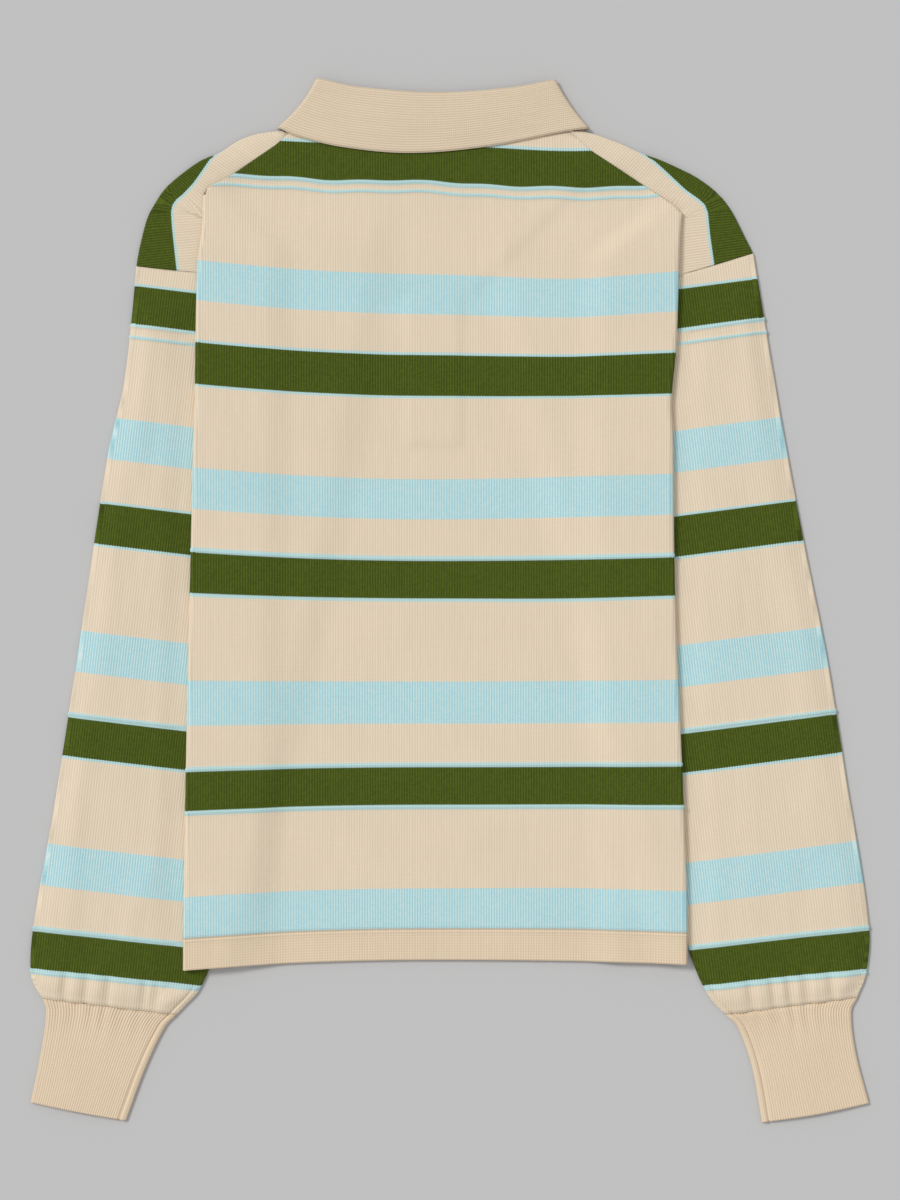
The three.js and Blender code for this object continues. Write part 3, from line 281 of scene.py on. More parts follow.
class Wall:
    """A closed wall of cloth from grids of middle points, which join where they share points."""

    def __init__(self):
        self.points = []
        self.faces = []
        self.known = {}

    def add(self, p):
        key = tuple(round(value * 1000) for value in p["at"])
        if key not in self.known:
            self.known[key] = len(self.points)
            self.points.append(p)
        return self.known[key]

    def patch(self, grid, keep=lambda i, j: True):
        index = [[self.add(p) for p in row] for row in grid]
        cells = []
        facing = 0
        for i in range(len(grid) - 1):
            for j in range(len(grid[i]) - 1):
                if not keep(i, j):
                    continue
                corners = []
                for r, c in ((i, j), (i, j + 1), (i + 1, j + 1), (i + 1, j)):
                    if index[r][c] not in [known for known, _ in corners]:
                        corners.append((index[r][c], grid[r][c]["uv"]))
                if len(corners) < 3:
                    continue
                cells.append(corners)
                facing += self.facing([corner[0] for corner in corners])
        self.faces += [cell[::-1] if facing < 0 else cell for cell in cells]

    def facing(self, corners):
        a, b, c = (self.points[i]["at"] for i in corners[:3])
        p = [b[k] - a[k] for k in range(3)]
        q = [c[k] - a[k] for k in range(3)]
        normal = (p[1] * q[2] - p[2] * q[1], p[2] * q[0] - p[0] * q[2], p[0] * q[1] - p[1] * q[0])
        return sum(n * o for n, o in zip(normal, self.points[corners[0]]["out"]))

    def build(self, name, material):
        verts = []
        for side in (1, -1):
            for p in self.points:
                reach = CLOTH / 2 + p["raise"] if side > 0 else -CLOTH / 2
                place = [value + reach * out for value, out in zip(p["at"], p["out"])]
                verts.append(((place[0] - CENTRE[0]) * MM, (place[1] - CENTRE[1]) * MM, place[2] * MM))
        inner = len(self.points)
        faces = []
        uvs = []
        edges = {}
        for cell in self.faces:
            faces.append([i for i, _ in cell])
            uvs.append([uv for _, uv in cell])
            faces.append([i + inner for i, _ in cell[::-1]])
            uvs.append([uv for _, uv in cell[::-1]])
            for a, b in zip(cell, cell[1:] + cell[:1]):
                edges[(a[0], b[0])] = (a[1], b[1])
        for (p, q), (uv_p, uv_q) in edges.items():
            if (q, p) not in edges:
                faces.append([q, p, p + inner, q + inner])
                uvs.append([uv_q, uv_p, uv_p, uv_q])
        mesh = bpy.data.meshes.new(name)
        mesh.from_pydata(verts, [], faces)
        layer = mesh.uv_layers.new(name="cloth")
        flat = [value * MM for corners in uvs for uv in corners for value in uv]
        layer.data.foreach_set("uv", flat)
        mesh.polygons.foreach_set("use_smooth", [True] * len(mesh.polygons))
        mesh.materials.append(material)
        mesh.validate(clean_customdata=False)
        mesh.update()
        obj = bpy.data.objects.new(name, mesh)
        bpy.context.scene.collection.objects.link(obj)
        return obj


def fold_points(centre, low_z, high_z, direction, raised=0, u_start=0, v=0, u_sign=1):
    """Half circle of wall from a lower layer to an upper one, bulging along direction."""
    radius = (high_z - low_z) / 2
    out = []
    for k in range(FOLD_STEPS + 1):
        angle = math.pi * (k / FOLD_STEPS - 0.5)
        reach = math.cos(angle)
        dx, dy = direction[0] * reach, direction[1] * reach
        z = (low_z + high_z) / 2 + radius * math.sin(angle)
        lifted = raised * smoothstep(-0.2, 0.6, math.sin(angle))
        uv = (u_start + u_sign * radius * math.pi * k / FOLD_STEPS, v)
        place = (centre[0] + radius * dx, centre[1] + radius * dy, z)
        out.append(point(*place, (dx, dy, math.sin(angle)), lifted, uv))
    return out


# Outline and stripes of the body


def body_side(side, y):
    return smooth(BODY_SIDES, y, 1 if side == "left" else 2)


def stripe_y(level, x):
    away = clamp((x - STRIPE_MIDDLE_X) / STRIPE_HALF_WIDTH, -STRIPE_LIMIT, STRIPE_LIMIT)
    wave = math.exp(-(((x - WAVE_X) / WAVE_WIDTH) ** 2))
    bend = smooth(STRIPE_BEND, level, 1 if away < 0 else 3) * away**2
    return level + bend + smooth(STRIPE_BEND, level, 2) * wave


def stripe_level(x, y):
    """The level that a place lies on: stripe_y the other way round."""
    level = y
    for _ in range(4):
        level += y - stripe_y(level, x)
    near = smoothstep(283, 290, level) * (1 - smoothstep(300.2, 306, level))
    return level + near * (0.7 * math.sin(x / 17) + 0.5 * math.sin(x / 7.3 + 1) + 0.4 * math.sin(x / 41))


def level_y(x, y):
    return y - stripe_y(CLIMB_TOP, x) + CLIMB_TOP


def sleeve_plan(sleeve, s, w):
    angle = math.radians(sleeve["tilt"])
    x = sleeve["corner"][0] + sleeve["sign"] * (s * math.sin(angle) - w * math.cos(angle))
    y = sleeve["corner"][1] - s * math.cos(angle) - w * math.sin(angle)
    return x, y


def sleeve_local(sleeve, x, y):
    angle = math.radians(sleeve["tilt"])
    dx, dy = (x - sleeve["corner"][0]) * sleeve["sign"], y - sleeve["corner"][1]
    return dx * math.sin(angle) - dy * math.cos(angle), -dx * math.cos(angle) - dy * math.sin(angle)


# How much of the lift over the sleeves and over the folded sides a place has


def sleeve_cover(x, y):
    sleeve = SLEEVES["left" if x < STRIPE_MIDDLE_X else "right"]
    s, w = sleeve_local(sleeve, x, y)
    inner = smooth(sleeve["edges"], s, 2) + SLEEVE_MARGIN
    return 1 - smoothstep(inner, inner + SLEEVE_BLEND, w)


def strip_cover(x, y):
    inside = min(x - body_side("left", y), body_side("right", y) - x)
    widening = smoothstep(STRIP_WIDENS, CLIMB_FOOT, level_y(x, y))
    zone = lerp(LIP_WIDTH, STRIP_WIDTH, widening) + STRIP_MARGIN
    return 1 - smoothstep(zone, zone + LIFT_BLEND, inside)


def collar_tip_line(x):
    away = (abs(x - FRONT_MIDDLE_X) - COLLAR_TIP_SPREAD) / (COLLAR_HALF - COLLAR_TIP_SPREAD)
    return lerp(COLLAR_TIP_Y, NECK_Y, clamp(away, 0, 1))


def collar_lift(x, y):
    line = collar_tip_line(x)
    return LAYER * smoothstep(line - 36, line - 18, y)


def placket_lift(x, y):
    across = abs(x - FRONT_MIDDLE_X) - PLACKET_WIDTH / 2
    return 1.1 * (1 - smoothstep(2, 8, across)) * (1 - smoothstep(2, 10, PLACKET_BOTTOM - y))


# Middle heights of the layers


def front_height(x, y):
    climb = smoothstep(CLIMB_TOP, CLIMB_FOOT, level_y(x, y))
    return GROUND + collar_lift(x, y) + 2 * LAYER * climb * (sleeve_cover(x, y) + strip_cover(x, y))


def back_height(x, y):
    climb = smoothstep(BACK_CLIMB_TOP, CLIMB_FOOT, level_y(x, y))
    over = max(collar_lift(x, y + COLLAR_BACK_SHIFT), placket_lift(x, y))
    lift = 2 * LAYER * (sleeve_cover(x, y) * climb + strip_cover(x, y))
    ease = BACK_EASE * smoothstep(NECK_Y, NECK_Y - NECK_EASE, y)
    return GROUND + LAYER + ease + over + lift + soft_creases(x, y)


def strip_height(x, y):
    return GROUND + 2 * LAYER * (1 if level_y(x, y) > CLIMB_FOOT else sleeve_cover(x, y))


# Soft troughs and ridges of the back as it lies: ends, half width, height
BACK_CREASES = [
    ((-170, 150), (-150, 60), 10, 0.3),
    ((106, 215), (112, 150), 12, 0.3),
    ((60, 120), (66, 40), 14, -0.3),
    ((-60, 30), (-20, -60), 16, 0.35),
    ((40, -20), (110, -75), 15, 0.35),
    ((-150, -90), (-70, -110), 14, -0.3),
    ((-20, -170), (90, -160), 16, 0.3),
    ((128, -40), (146, -190), 8, 0.25),
]


def soft_creases(x, y):
    total = 0
    for (ax, ay), (bx, by), width, height in BACK_CREASES:
        dx, dy = bx - ax, by - ay
        length = math.hypot(dx, dy)
        along = ((x - ax) * dx + (y - ay) * dy) / length
        across = ((x - ax) * dy - (y - ay) * dx) / length
        if -30 < along < length + 30 and abs(across) < 3 * width:
            ends = smoothstep(-25, 15, along) * (1 - smoothstep(length - 15, length + 25, along))
            total += height * ends * math.exp(-((across / width) ** 2))
    return max(total, -0.25)


# Columns and rows of the body


def column_places(left, right, step):
    marks = [left + d for d in COLUMNS_LEFT]
    marks.append((left + COLUMNS_LEFT[-1] + COLUMNS_MIDDLE[0]) / 2)
    marks += COLUMNS_MIDDLE
    marks.append((right - COLUMNS_RIGHT[0] + COLUMNS_MIDDLE[-1]) / 2)
    marks += [right - d for d in COLUMNS_RIGHT]
    out = [marks[0]]
    for a, b, count in zip(marks, marks[1:], column_counts(step)):
        out += [lerp(a, b, k / count) for k in range(1, count + 1)]
    return out


def column_counts(step):
    """How many columns each stretch is cut into, the same on every row."""
    gaps = [b - a for a, b in zip(COLUMNS_LEFT, COLUMNS_LEFT[1:])] + [26, 26]
    gaps += [b - a for a, b in zip(COLUMNS_MIDDLE, COLUMNS_MIDDLE[1:])] + [12, 12]
    gaps += [a - b for a, b in zip(COLUMNS_RIGHT, COLUMNS_RIGHT[1:])]
    return [max(1, round(gap / step)) for gap in gaps]


def column_mark(mark, step):
    return sum(column_counts(step)[:mark])


def plan_row(level, lowered, step, top_edge=False):
    """Plan points of one row, pushed down where the upper edge of the back crosses it."""
    ends = {}
    for side in ("left", "right"):
        y = min(level, APEX_Y[side])
        for _ in range(4):
            x = body_side(side, y)
            y = min(stripe_y(level, x), straight(BACK_TOP, x) - lowered)
        ends[side] = y
    places = column_places(body_side("left", ends["left"]), body_side("right", ends["right"]), step)
    out = []
    for x in places:
        highest = straight(BACK_TOP, x) - lowered
        out.append((x, highest if top_edge else min(stripe_y(level, x), highest)))
    return out


def ridge_at(level):
    """Height of the rolled lines of knit at a level."""
    return max(0.95 * math.exp(-(((level - at) / 1.15) ** 2)) for at in BODY_RIDGES)


def body_rows(step, top, bottom):
    marks = sorted([y for y in BODY_LEVELS if bottom <= y <= top] + [top, bottom], reverse=True)
    levels = refine(list(dict.fromkeys(marks)), step)
    levels = [y for y in levels if y in marks or all(abs(y - r) > 3.6 for r in BODY_RIDGES)]
    levels += [r + d for r in BODY_RIDGES for d in RIDGE_OFFSETS if bottom < r + d < top]
    levels = [y for y in set(levels) if not FRONT_START < y < CLIMB_FOOT]
    return sorted(levels, reverse=True)


def folded_side(side, edge, top_z, low_height, reach, width, raised, level, step):
    sign = -1 if side == "left" else 1
    low_edge = low_height(edge[0], edge[1])
    radius = (top_z - low_edge) / 2
    centre = edge[0] - sign * (radius + reach)
    start = edge[0] + sign * radius * math.pi
    strip = []
    for d in refine([STRIP_WIDTH, 22, 6], step):
        x = lerp(centre, edge[0] - sign * d, width)
        y = edge[1] + stripe_y(level, x) - stripe_y(level, edge[0])
        strip.append(point(x, y, low_height(x, edge[1]), (0, 0, -1), 0, (start + centre - x, level)))
    fold = fold_points((centre, edge[1]), low_edge, top_z, (sign, 0), raised, start, level, -sign)
    return strip, fold


def panel_row(plan, height, low, ridged, step):
    """Strip and fold on the left, the top layer, then fold and strip on the right."""
    sides = {}
    for side, edge in (("left", plan[0]), ("right", plan[-1])):
        level = stripe_level(*edge)
        raised = ridge_at(level) if ridged else 0
        width = low["width"](*edge)
        top_z = height(*edge)
        sides[side] = folded_side(side, edge, top_z, low["height"], low["reach"], width, raised, level, step)
    middle = []
    for x, y in plan[1:-1]:
        level = stripe_level(x, y)
        raised = ridge_at(level) if ridged else 0
        middle.append(point(x, y, height(x, y), (0, 0, 1), raised, (x, level)))
    strip, fold = sides["left"]
    right = sides["right"][0] + sides["right"][1]
    return strip + fold + middle + right[::-1]


def back_strip_width(x, y):
    return lerp(LIP_WIDTH / STRIP_WIDTH, 1, smoothstep(CLIMB_FOOT, STRIP_START, level_y(x, y)))


BACK_FOLD = {"height": strip_height, "width": back_strip_width, "reach": CLOTH / 2}
FRONT_FOLD = {
    "height": lambda x, y: strip_height(x, y) + LAYER,
    "width": lambda x, y: 1,
    "reach": CLOTH / 2 + LAYER + BACK_EASE / 2,
}


def back_row(level, step, top_edge=False):
    return panel_row(plan_row(level, 0, step, top_edge), back_height, BACK_FOLD, True, step)


def front_row(level, step):
    row = panel_row(plan_row(level, 0.9, step), front_height, FRONT_FOLD, False, step)
    return [dict(p, out=tuple(-value for value in p["out"])) for p in row]


def make_back(step):
    wall = Wall()
    levels = body_rows(step, NECK_Y, HEM_TOP)
    wall.patch([back_row(level, step, level == NECK_Y) for level in levels])
    return wall


# Front: shoulders, the middle between them, the climb over the sleeves, and the lower body


def neck_dip(x):
    share = clamp((x - NECK_LEFT) / (NECK_RIGHT - NECK_LEFT), 0, 1)
    return NECK_DIP * math.sin(math.pi * share) ** 2


def outward_at(points, i, sign):
    a, b = points[max(i - 1, 0)], points[min(i + 1, len(points) - 1)]
    length = math.hypot(b[0] - a[0], b[1] - a[1]) or 1
    return sign * abs(b[1] - a[1]) / length, abs(b[0] - a[0]) / length


def cap_uv(side, x, y):
    """Distance along and out from the line between the shoulder's beige and green."""
    line = CAP_LINE[side]
    sign = 1 if side == "right" else -1
    best = None
    run = 0
    for i, (a, b) in enumerate(zip(line, line[1:])):
        dx, dy = b[0] - a[0], b[1] - a[1]
        length = math.hypot(dx, dy)
        t = ((x - a[0]) * dx + (y - a[1]) * dy) / length
        across = ((x - a[0]) * dy - (y - a[1]) * dx) / length
        low = -400 if i == 0 else 0
        high = 400 if i == len(line) - 2 else length
        held = clamp(t, low, high)
        away = math.hypot(across, t - held)
        if best is None or away < best[0]:
            best = (away, run + held, sign * math.copysign(away, across))
        run += length
    return best[1], CAP_LINE_LEVEL - best[2]


def slit_row(level, step):
    """A row of the front with its ends drawn in beside the sleeves' heads."""
    row = plan_row(level, 0.9, step)
    left, right = row[0][0], row[-1][0]
    ease = COLUMNS_LEFT[1]
    out = []
    for x, y in row:
        into = SLIT * (clamp(1 - (x - left) / ease, 0, 1) - clamp(1 - (right - x) / ease, 0, 1))
        out.append((x + into, y))
    return out


def shoulder_grids(side, climb_row, step):
    """The cap on top with its fold, and the layer beneath it, as two grids that meet."""
    sleeve = SLEEVES[side]
    sign = sleeve["sign"]
    top_row = plan_row(NECK_Y, 0, step, True)
    if side == "left":
        along = list(range(column_mark(NECK_MARK_LEFT, step), -1, -1))
    else:
        along = list(range(column_mark(NECK_MARK_RIGHT, step), len(top_row)))

    def armhole(w):
        return sleeve_plan(sleeve, straight(sleeve["head"], w) - SEAM_GAP, w)

    def tuck_x(y):
        return body_side(side, y) - sign * TUCK

    near = armhole(ARMHOLE_W)
    foot = sleeve_local(sleeve, tuck_x(near[1]), near[1])[1]
    end = armhole(foot)
    seam_top = [top_row[column] for column in along]
    tip = seam_top[-1]
    seam = []
    for i, place in enumerate(seam_top):
        dx, dy = outward_at(seam_top, i, sign)
        seam.append((place[0] + dx * SEAM_GAP, place[1] + dy * SEAM_GAP))
    inner = [climb_row[column] for column in along]
    apex = inner[-1]
    slit_end = armhole(foot - TUCK / 2)

    # Each place on the seam is paired with a place on the fold, by their marks along both
    fold_line = SHOULDER_FOLD[side] + [armhole(0)]
    fold_table = [(i, x, y) for i, (x, y) in enumerate(fold_line)]
    pairs = SHOULDER_PAIRS[side]
    marks = [straight(pairs, abs(place[0] - tip[0])) for place in seam_top]
    steps = 36
    for k in range(1, steps + 1):
        t = k / steps
        y = lerp(tip[1], end[1], t)
        seam.append(end if k == steps else (tuck_x(y), y))
        inner.append((lerp(apex[0], slit_end[0], t), lerp(apex[1], slit_end[1], t)))
        marks.append(lerp(pairs[0][1], len(fold_line) - 1, t))
    folds = [(smooth(fold_table, m, 1), smooth(fold_table, m, 2)) for m in marks]

    tilt = math.radians(sleeve["tilt"])
    reach = LAYER / 2 + CLOTH / 2
    caps = []
    unders = []
    for i, fold in enumerate(folds):
        at_sleeve = i == len(folds) - 1
        out = (sign * math.cos(tilt), math.sin(tilt)) if at_sleeve else outward_at(folds, i, sign)
        cx, cy = fold[0] - out[0] * reach, fold[1] - out[1] * reach
        low = GROUND + collar_lift(*fold)
        cap = []
        for k in range(SHOULDER_ROWS, 0, -1):
            x = lerp(cx, seam[i][0], k / SHOULDER_ROWS)
            y = lerp(cy, seam[i][1], k / SHOULDER_ROWS)
            puff = 0.5 * math.sin(math.pi * k / SHOULDER_ROWS)
            cap.append(point(x, y, GROUND + LAYER + collar_lift(x, y) + puff, uv=cap_uv(side, x, y)))
        turn = fold_points((cx, cy), low, low + LAYER, out)[::-1]
        base = cap_uv(side, *fold)
        for k, p in enumerate(turn):
            cap.append(dict(p, uv=(base[0], base[1] + k * LAYER * math.pi / 2 / FOLD_STEPS)))
        under = [dict(turn[-1], uv=(turn[-1]["at"][0], stripe_level(*turn[-1]["at"][:2])))]
        for k in range(1, SHOULDER_ROWS + 1):
            x = lerp(cx, inner[i][0], k / SHOULDER_ROWS)
            y = lerp(cy, inner[i][1], k / SHOULDER_ROWS)
            height = GROUND + collar_lift(x, y)
            under.append(point(x, y, height, (0, 0, -1), uv=(x, stripe_level(x, y))))
        caps.append(cap)
        unders.append(under)
    return caps, unders


def make_front(step):
    wall = Wall()
    climb = slit_row(CLIMB_TOP, step)
    shoulders = {side: shoulder_grids(side, climb, step) for side in ("left", "right")}
    for caps, unders in shoulders.values():
        wall.patch(caps)
        wall.patch(unders)
    first, last = column_mark(NECK_MARK_LEFT, step), column_mark(NECK_MARK_RIGHT, step)
    slot = (column_mark(SLOT_MARK, step), column_mark(SLOT_MARK + 2, step))
    neck_row = plan_row(NECK_Y, 0, step, True)
    upper = []
    for k in range(SHOULDER_ROWS + 1):
        row = []
        for column in range(first, last + 1):
            if column == first:
                row.append(shoulders["left"][1][0][k])
            elif column == last:
                row.append(shoulders["right"][1][0][k])
            else:
                x0 = neck_row[column][0]
                x = lerp(x0, climb[column][0], k / SHOULDER_ROWS)
                y = lerp(NECK_Y - neck_dip(x0), climb[column][1], k / SHOULDER_ROWS)
                height = GROUND + collar_lift(x, y)
                row.append(point(x, y, height, (0, 0, -1), uv=(x, stripe_level(x, y))))
        upper.append(row)
    wall.patch(upper, lambda i, j: not slot[0] <= j + first < slot[1])
    levels = [y for y in body_rows(step, CLIMB_TOP, HEM_TOP)]
    side_steps = len(refine([STRIP_WIDTH, 22, 6], step)) + FOLD_STEPS
    sheet = []
    folded = []
    for level in levels:
        if level < CLIMB_FOOT:
            row = front_row(level, step)
            sheet.append(row[side_steps:-side_steps])
            folded.append(row)
        else:
            flat = [(x, y, front_height(x, y), stripe_level(x, y)) for x, y in slit_row(level, step)]
            sheet.append([point(x, y, z, (0, 0, -1), uv=(x, v)) for x, y, z, v in flat])
    slot_rows = len([y for y in levels if y >= PLACKET_BOTTOM - 1]) - 1
    wall.patch(sheet, lambda i, j: i >= slot_rows or not slot[0] <= j < slot[1])
    wall.patch([row[: side_steps + 1] for row in folded])
    wall.patch([row[-side_steps - 1 :] for row in folded])
    return wall


# Hem bands go on from the panels' rows


def make_hem(kind, step):
    wall = Wall()
    top = HEM_TOP - SEAM_GAP
    levels = [top, top - 0.7, top - 1.5, top - 2.3] + refine([top - 3, HEM_BOTTOM + 1.2, HEM_BOTTOM], step)
    rows = []
    for level in levels:
        row = back_row(level, step) if kind == "back" else front_row(level, step)
        line = 0.5 * math.exp(-(((level - top + 1.5) / 0.7) ** 2)) if kind == "back" else 0
        new = []
        for p in row:
            x, y, z = p["at"]
            share = (top - level) / (top - HEM_BOTTOM)
            drop = FRONT_HEM_DROP * share * smoothstep(60, 110, x) if kind == "front" else 0
            # Only the side that shows carries the line, so that the hem lies flat beneath
            new.append(dict(p, at=(x, y - drop, z)) | {"raise": p["raise"] + line * max(p["out"][2], 0)})
        rows.append(new)
    wall.patch(rows)
    return wall


# Sleeves and cuffs: tubes pressed flat


def outside_body(sleeve, x, y):
    beside = (x - body_side(sleeve["side"], y)) * sleeve["sign"]
    return max(beside, stripe_y(HEM_BOTTOM, x) - FRONT_HEM_DROP - y)


# Soft folds of the sleeves as they lie: start and end by s and w, half width, height
SLEEVE_CREASES = {
    "left": [
        ((30, 12), (150, 20), 7, 0.7), ((170, 8), (330, 14), 8, 0.6), ((250, 40), (420, 58), 10, -0.6),
        ((360, 4), (500, 10), 7, 0.8), ((430, 60), (505, 50), 8, 0.7), ((60, 36), (140, 30), 8, -0.5),
    ],
    "right": [
        ((24, 10), (140, 16), 7, 0.7), ((150, 26), (300, 18), 9, -0.6), ((300, 6), (420, 8), 8, 0.7),
        ((330, 44), (470, 62), 10, 0.6), ((440, 20), (505, 30), 8, -0.7), ((200, 44), (270, 52), 9, 0.5),
    ],
}


def sleeve_creases(sleeve, s, w):
    total = 0
    for (s0, w0), (s1, w1), width, height in SLEEVE_CREASES[sleeve["side"]]:
        along = (s - s0) / (s1 - s0)
        if -0.3 < along < 1.3:
            middle = lerp(w0, w1, along)
            ends = smoothstep(-0.25, 0.25, along) * (1 - smoothstep(0.75, 1.25, along))
            total += height * ends * math.exp(-(((w - middle) / width) ** 2))
    return total


def sleeve_puff(sleeve, s, w, outer, inner, x, y):
    clear = smoothstep(6, 24, outside_body(sleeve, x, y))
    rim = smoothstep(0, 16, w - outer) * smoothstep(0, 14, inner - w)
    wrist = smoothstep(GATHER_START, 522, s)
    fade = 1 - smoothstep(522, 535, s)
    dips = [math.exp(-(((w - at) / CREASE_WIDTH) ** 2)) for at in sleeve["creases"]]
    body = SLEEVE_PUFF * smoothstep(0, HEAD_EASE, s) * (0.4 + 0.6 * fade)
    gather = GATHER_PUFF * wrist * (0.3 + 0.7 * fade)
    crease = GATHER_DEPTH * wrist * max(dips) * (0.5 + 0.5 * fade)
    fine = 0.1 * wrist * math.sin(w * 1.1 + 0.6 * math.sin(w * 0.31)) * (0.6 + 0.4 * fade)
    soft = sleeve_creases(sleeve, s, w)
    below = smoothstep(440, 490, s)
    return clear * rim * max(body + gather - crease + fine + soft, -0.05) + seam_line(inner, w, clear * below)


def seam_line(inner, w, share):
    """The groove and the rolled edge beside it along the seam."""
    groove = math.exp(-(((w - inner + SEAM_INSET) / 0.9) ** 2))
    roll = math.exp(-(((w - inner + SEAM_INSET - 2) / 1.3) ** 2))
    return share * (0.5 * SEAM_DEPTH * roll - SEAM_DEPTH * groove)


def tube_ring(sleeve, s_at, outer, inner, columns, bottom_columns, top_at):
    """One ring: bottom layer, outer fold, top layer, inner fold."""
    reach = LAYER / 2 + CLOTH / 2
    start, end = outer + reach, inner - reach
    angle = math.radians(sleeve["tilt"])
    out = (sleeve["sign"] * math.cos(angle), math.sin(angle))
    ring = []

    def plan(w):
        s = s_at(w)
        beside = clamp((inner - w) / (inner - outer), 0, 1)
        drop = sleeve["wrist_drop"] * smoothstep(440, 512, s) * (1 - smoothstep(514, 533, s))
        return sleeve_plan(sleeve, s - smooth(sleeve["drawn_up"], s) + drop * beside ** 2, w)

    for k in range(1, bottom_columns):
        w = lerp(end, start, k / bottom_columns)
        x, y = plan(w)
        ring.append(point(x, y, GROUND, (0, 0, -1), 0, (2 * start - w, s_at(w))))
    x, y = plan(start)
    ring += fold_points((x, y), GROUND, GROUND + LAYER, out, top_at(start)[1], start, s_at(start))
    seam = [inner - SEAM_INSET + d for d in SEAM_OFFSETS]
    for w in [lerp(start, seam[0], k / columns) for k in range(1, columns)] + seam:
        x, y = plan(w)
        lift, raised = top_at(w)
        ring.append(point(x, y, GROUND + LAYER + lift, (0, 0, 1), raised, (w, s_at(w))))
    x, y = plan(end)
    back = tuple(-value for value in out)
    ring += fold_points((x, y), GROUND, GROUND + LAYER, back, 0, end, s_at(end))[::-1]
    ring.append(dict(ring[0], uv=(2 * start - end, s_at(end))))
    return ring


def make_sleeve(side, step):
    sleeve = SLEEVES[side]
    end = 534.5 - SEAM_GAP / 2
    levels = refine([3, 24, GATHER_START, end], step)
    levels = [s for s in levels if s == end or all(abs(s - r) > 3.6 for r in sleeve["ridges"])]
    levels = sorted(levels + [r + d for r in sleeve["ridges"] for d in RIDGE_OFFSETS])
    rings = []
    for i, s in enumerate([0] + levels):
        outer, inner = (smooth(sleeve["edges"], s, k) for k in (1, 2))

        def s_at(w):
            head = straight(sleeve["head"], w)
            return head if i == 0 else s + (head - 0.3 * max(head, 0)) * smoothstep(HEAD_EASE, 0, s)

        def top_at(w):
            x, y = sleeve_plan(sleeve, s_at(w), w)
            clear = smoothstep(3, 9, outside_body(sleeve, x, y))
            ridge = max(0.95 * math.exp(-(((s - at) / 1.15) ** 2)) for at in sleeve["ridges"])
            return sleeve_puff(sleeve, s, w, outer, inner, x, y), ridge * clear

        rings.append(tube_ring(sleeve, s_at, outer, inner, 62, 40, top_at))
    wall = Wall()
    wall.patch(rings)
    return wall


def make_cuff(side):
    sleeve = SLEEVES[side]
    table = sleeve["cuff"]
    start, end = table[0][0] + SEAM_GAP / 2, table[-1][0]
    rings = []
    for s in refine([start, start + 12, end - 1.2, end], 3):
        outer, inner = (smooth(table, s, k) for k in (1, 2))

        def top_at(w):
            f = clamp((w - outer - LAYER) / (inner - outer - 2 * LAYER), 0, 1)
            rib = RIB_HEIGHT * (0.5 - 0.5 * math.cos(2 * math.pi * CUFF_RIBS * f))
            near = 1 - smoothstep(0, 30, s - start)
            gather = 0.5 * near * math.sin(w * 0.55 + 0.8 * math.sin(w * 0.17))
            lift = (CUFF_PUFF + gather) * math.sin(math.pi * f) + seam_line(inner, w, 1)
            return lift, rib * (0.35 + 0.65 * near)

        def rib_uv(p):
            f = (p["uv"][0] - outer - LAYER) / (inner - outer - 2 * LAYER)
            return dict(p, uv=(f * CUFF_RIBS * RIB_PITCH, p["uv"][1]))

        def s_at(w):
            f = (w - outer) / (inner - outer)
            return s + smooth(sleeve["cuff_slant"], f) * smoothstep(start + 10, end, s)

        ring = tube_ring(sleeve, s_at, outer, inner, 6 * CUFF_RIBS, 30, top_at)
        rings.append([rib_uv(p) for p in ring])
    wall = Wall()
    wall.patch(rings)
    return wall


# Collar: rows run down the leaf, over the fold and down the stand, columns run round the neck


def make_collar(step):
    rows = [{"leaf": True, "k": k, "r": 1.5 * LAYER} for k in refine([1, 0.94, 0.06], 0.06)]
    for i in range(FOLD_STEPS + 1):
        turn = math.pi * i / FOLD_STEPS
        rows.append({"turn": turn, "k": 0, "r": LAYER + LAYER / 2 * math.cos(turn)})
    rows += [{"stand": True, "k": k, "r": 0.5 * LAYER} for k in refine([0.08, 1], 0.08)]
    seam = [x for x, _ in plan_row(NECK_Y, 0, step, True) if NECK_LEFT + 6 < x < NECK_RIGHT - 6]
    shares = [(x - NECK_LEFT) / (NECK_RIGHT - NECK_LEFT) for x in seam]
    left_front = [f for f in shares if f < 0.48][::-1]
    right_front = [f for f in shares if f > 0.52][::-1]
    wall = Wall()
    wall.patch([collar_row(row, left_front, right_front) for row in rows])
    return wall


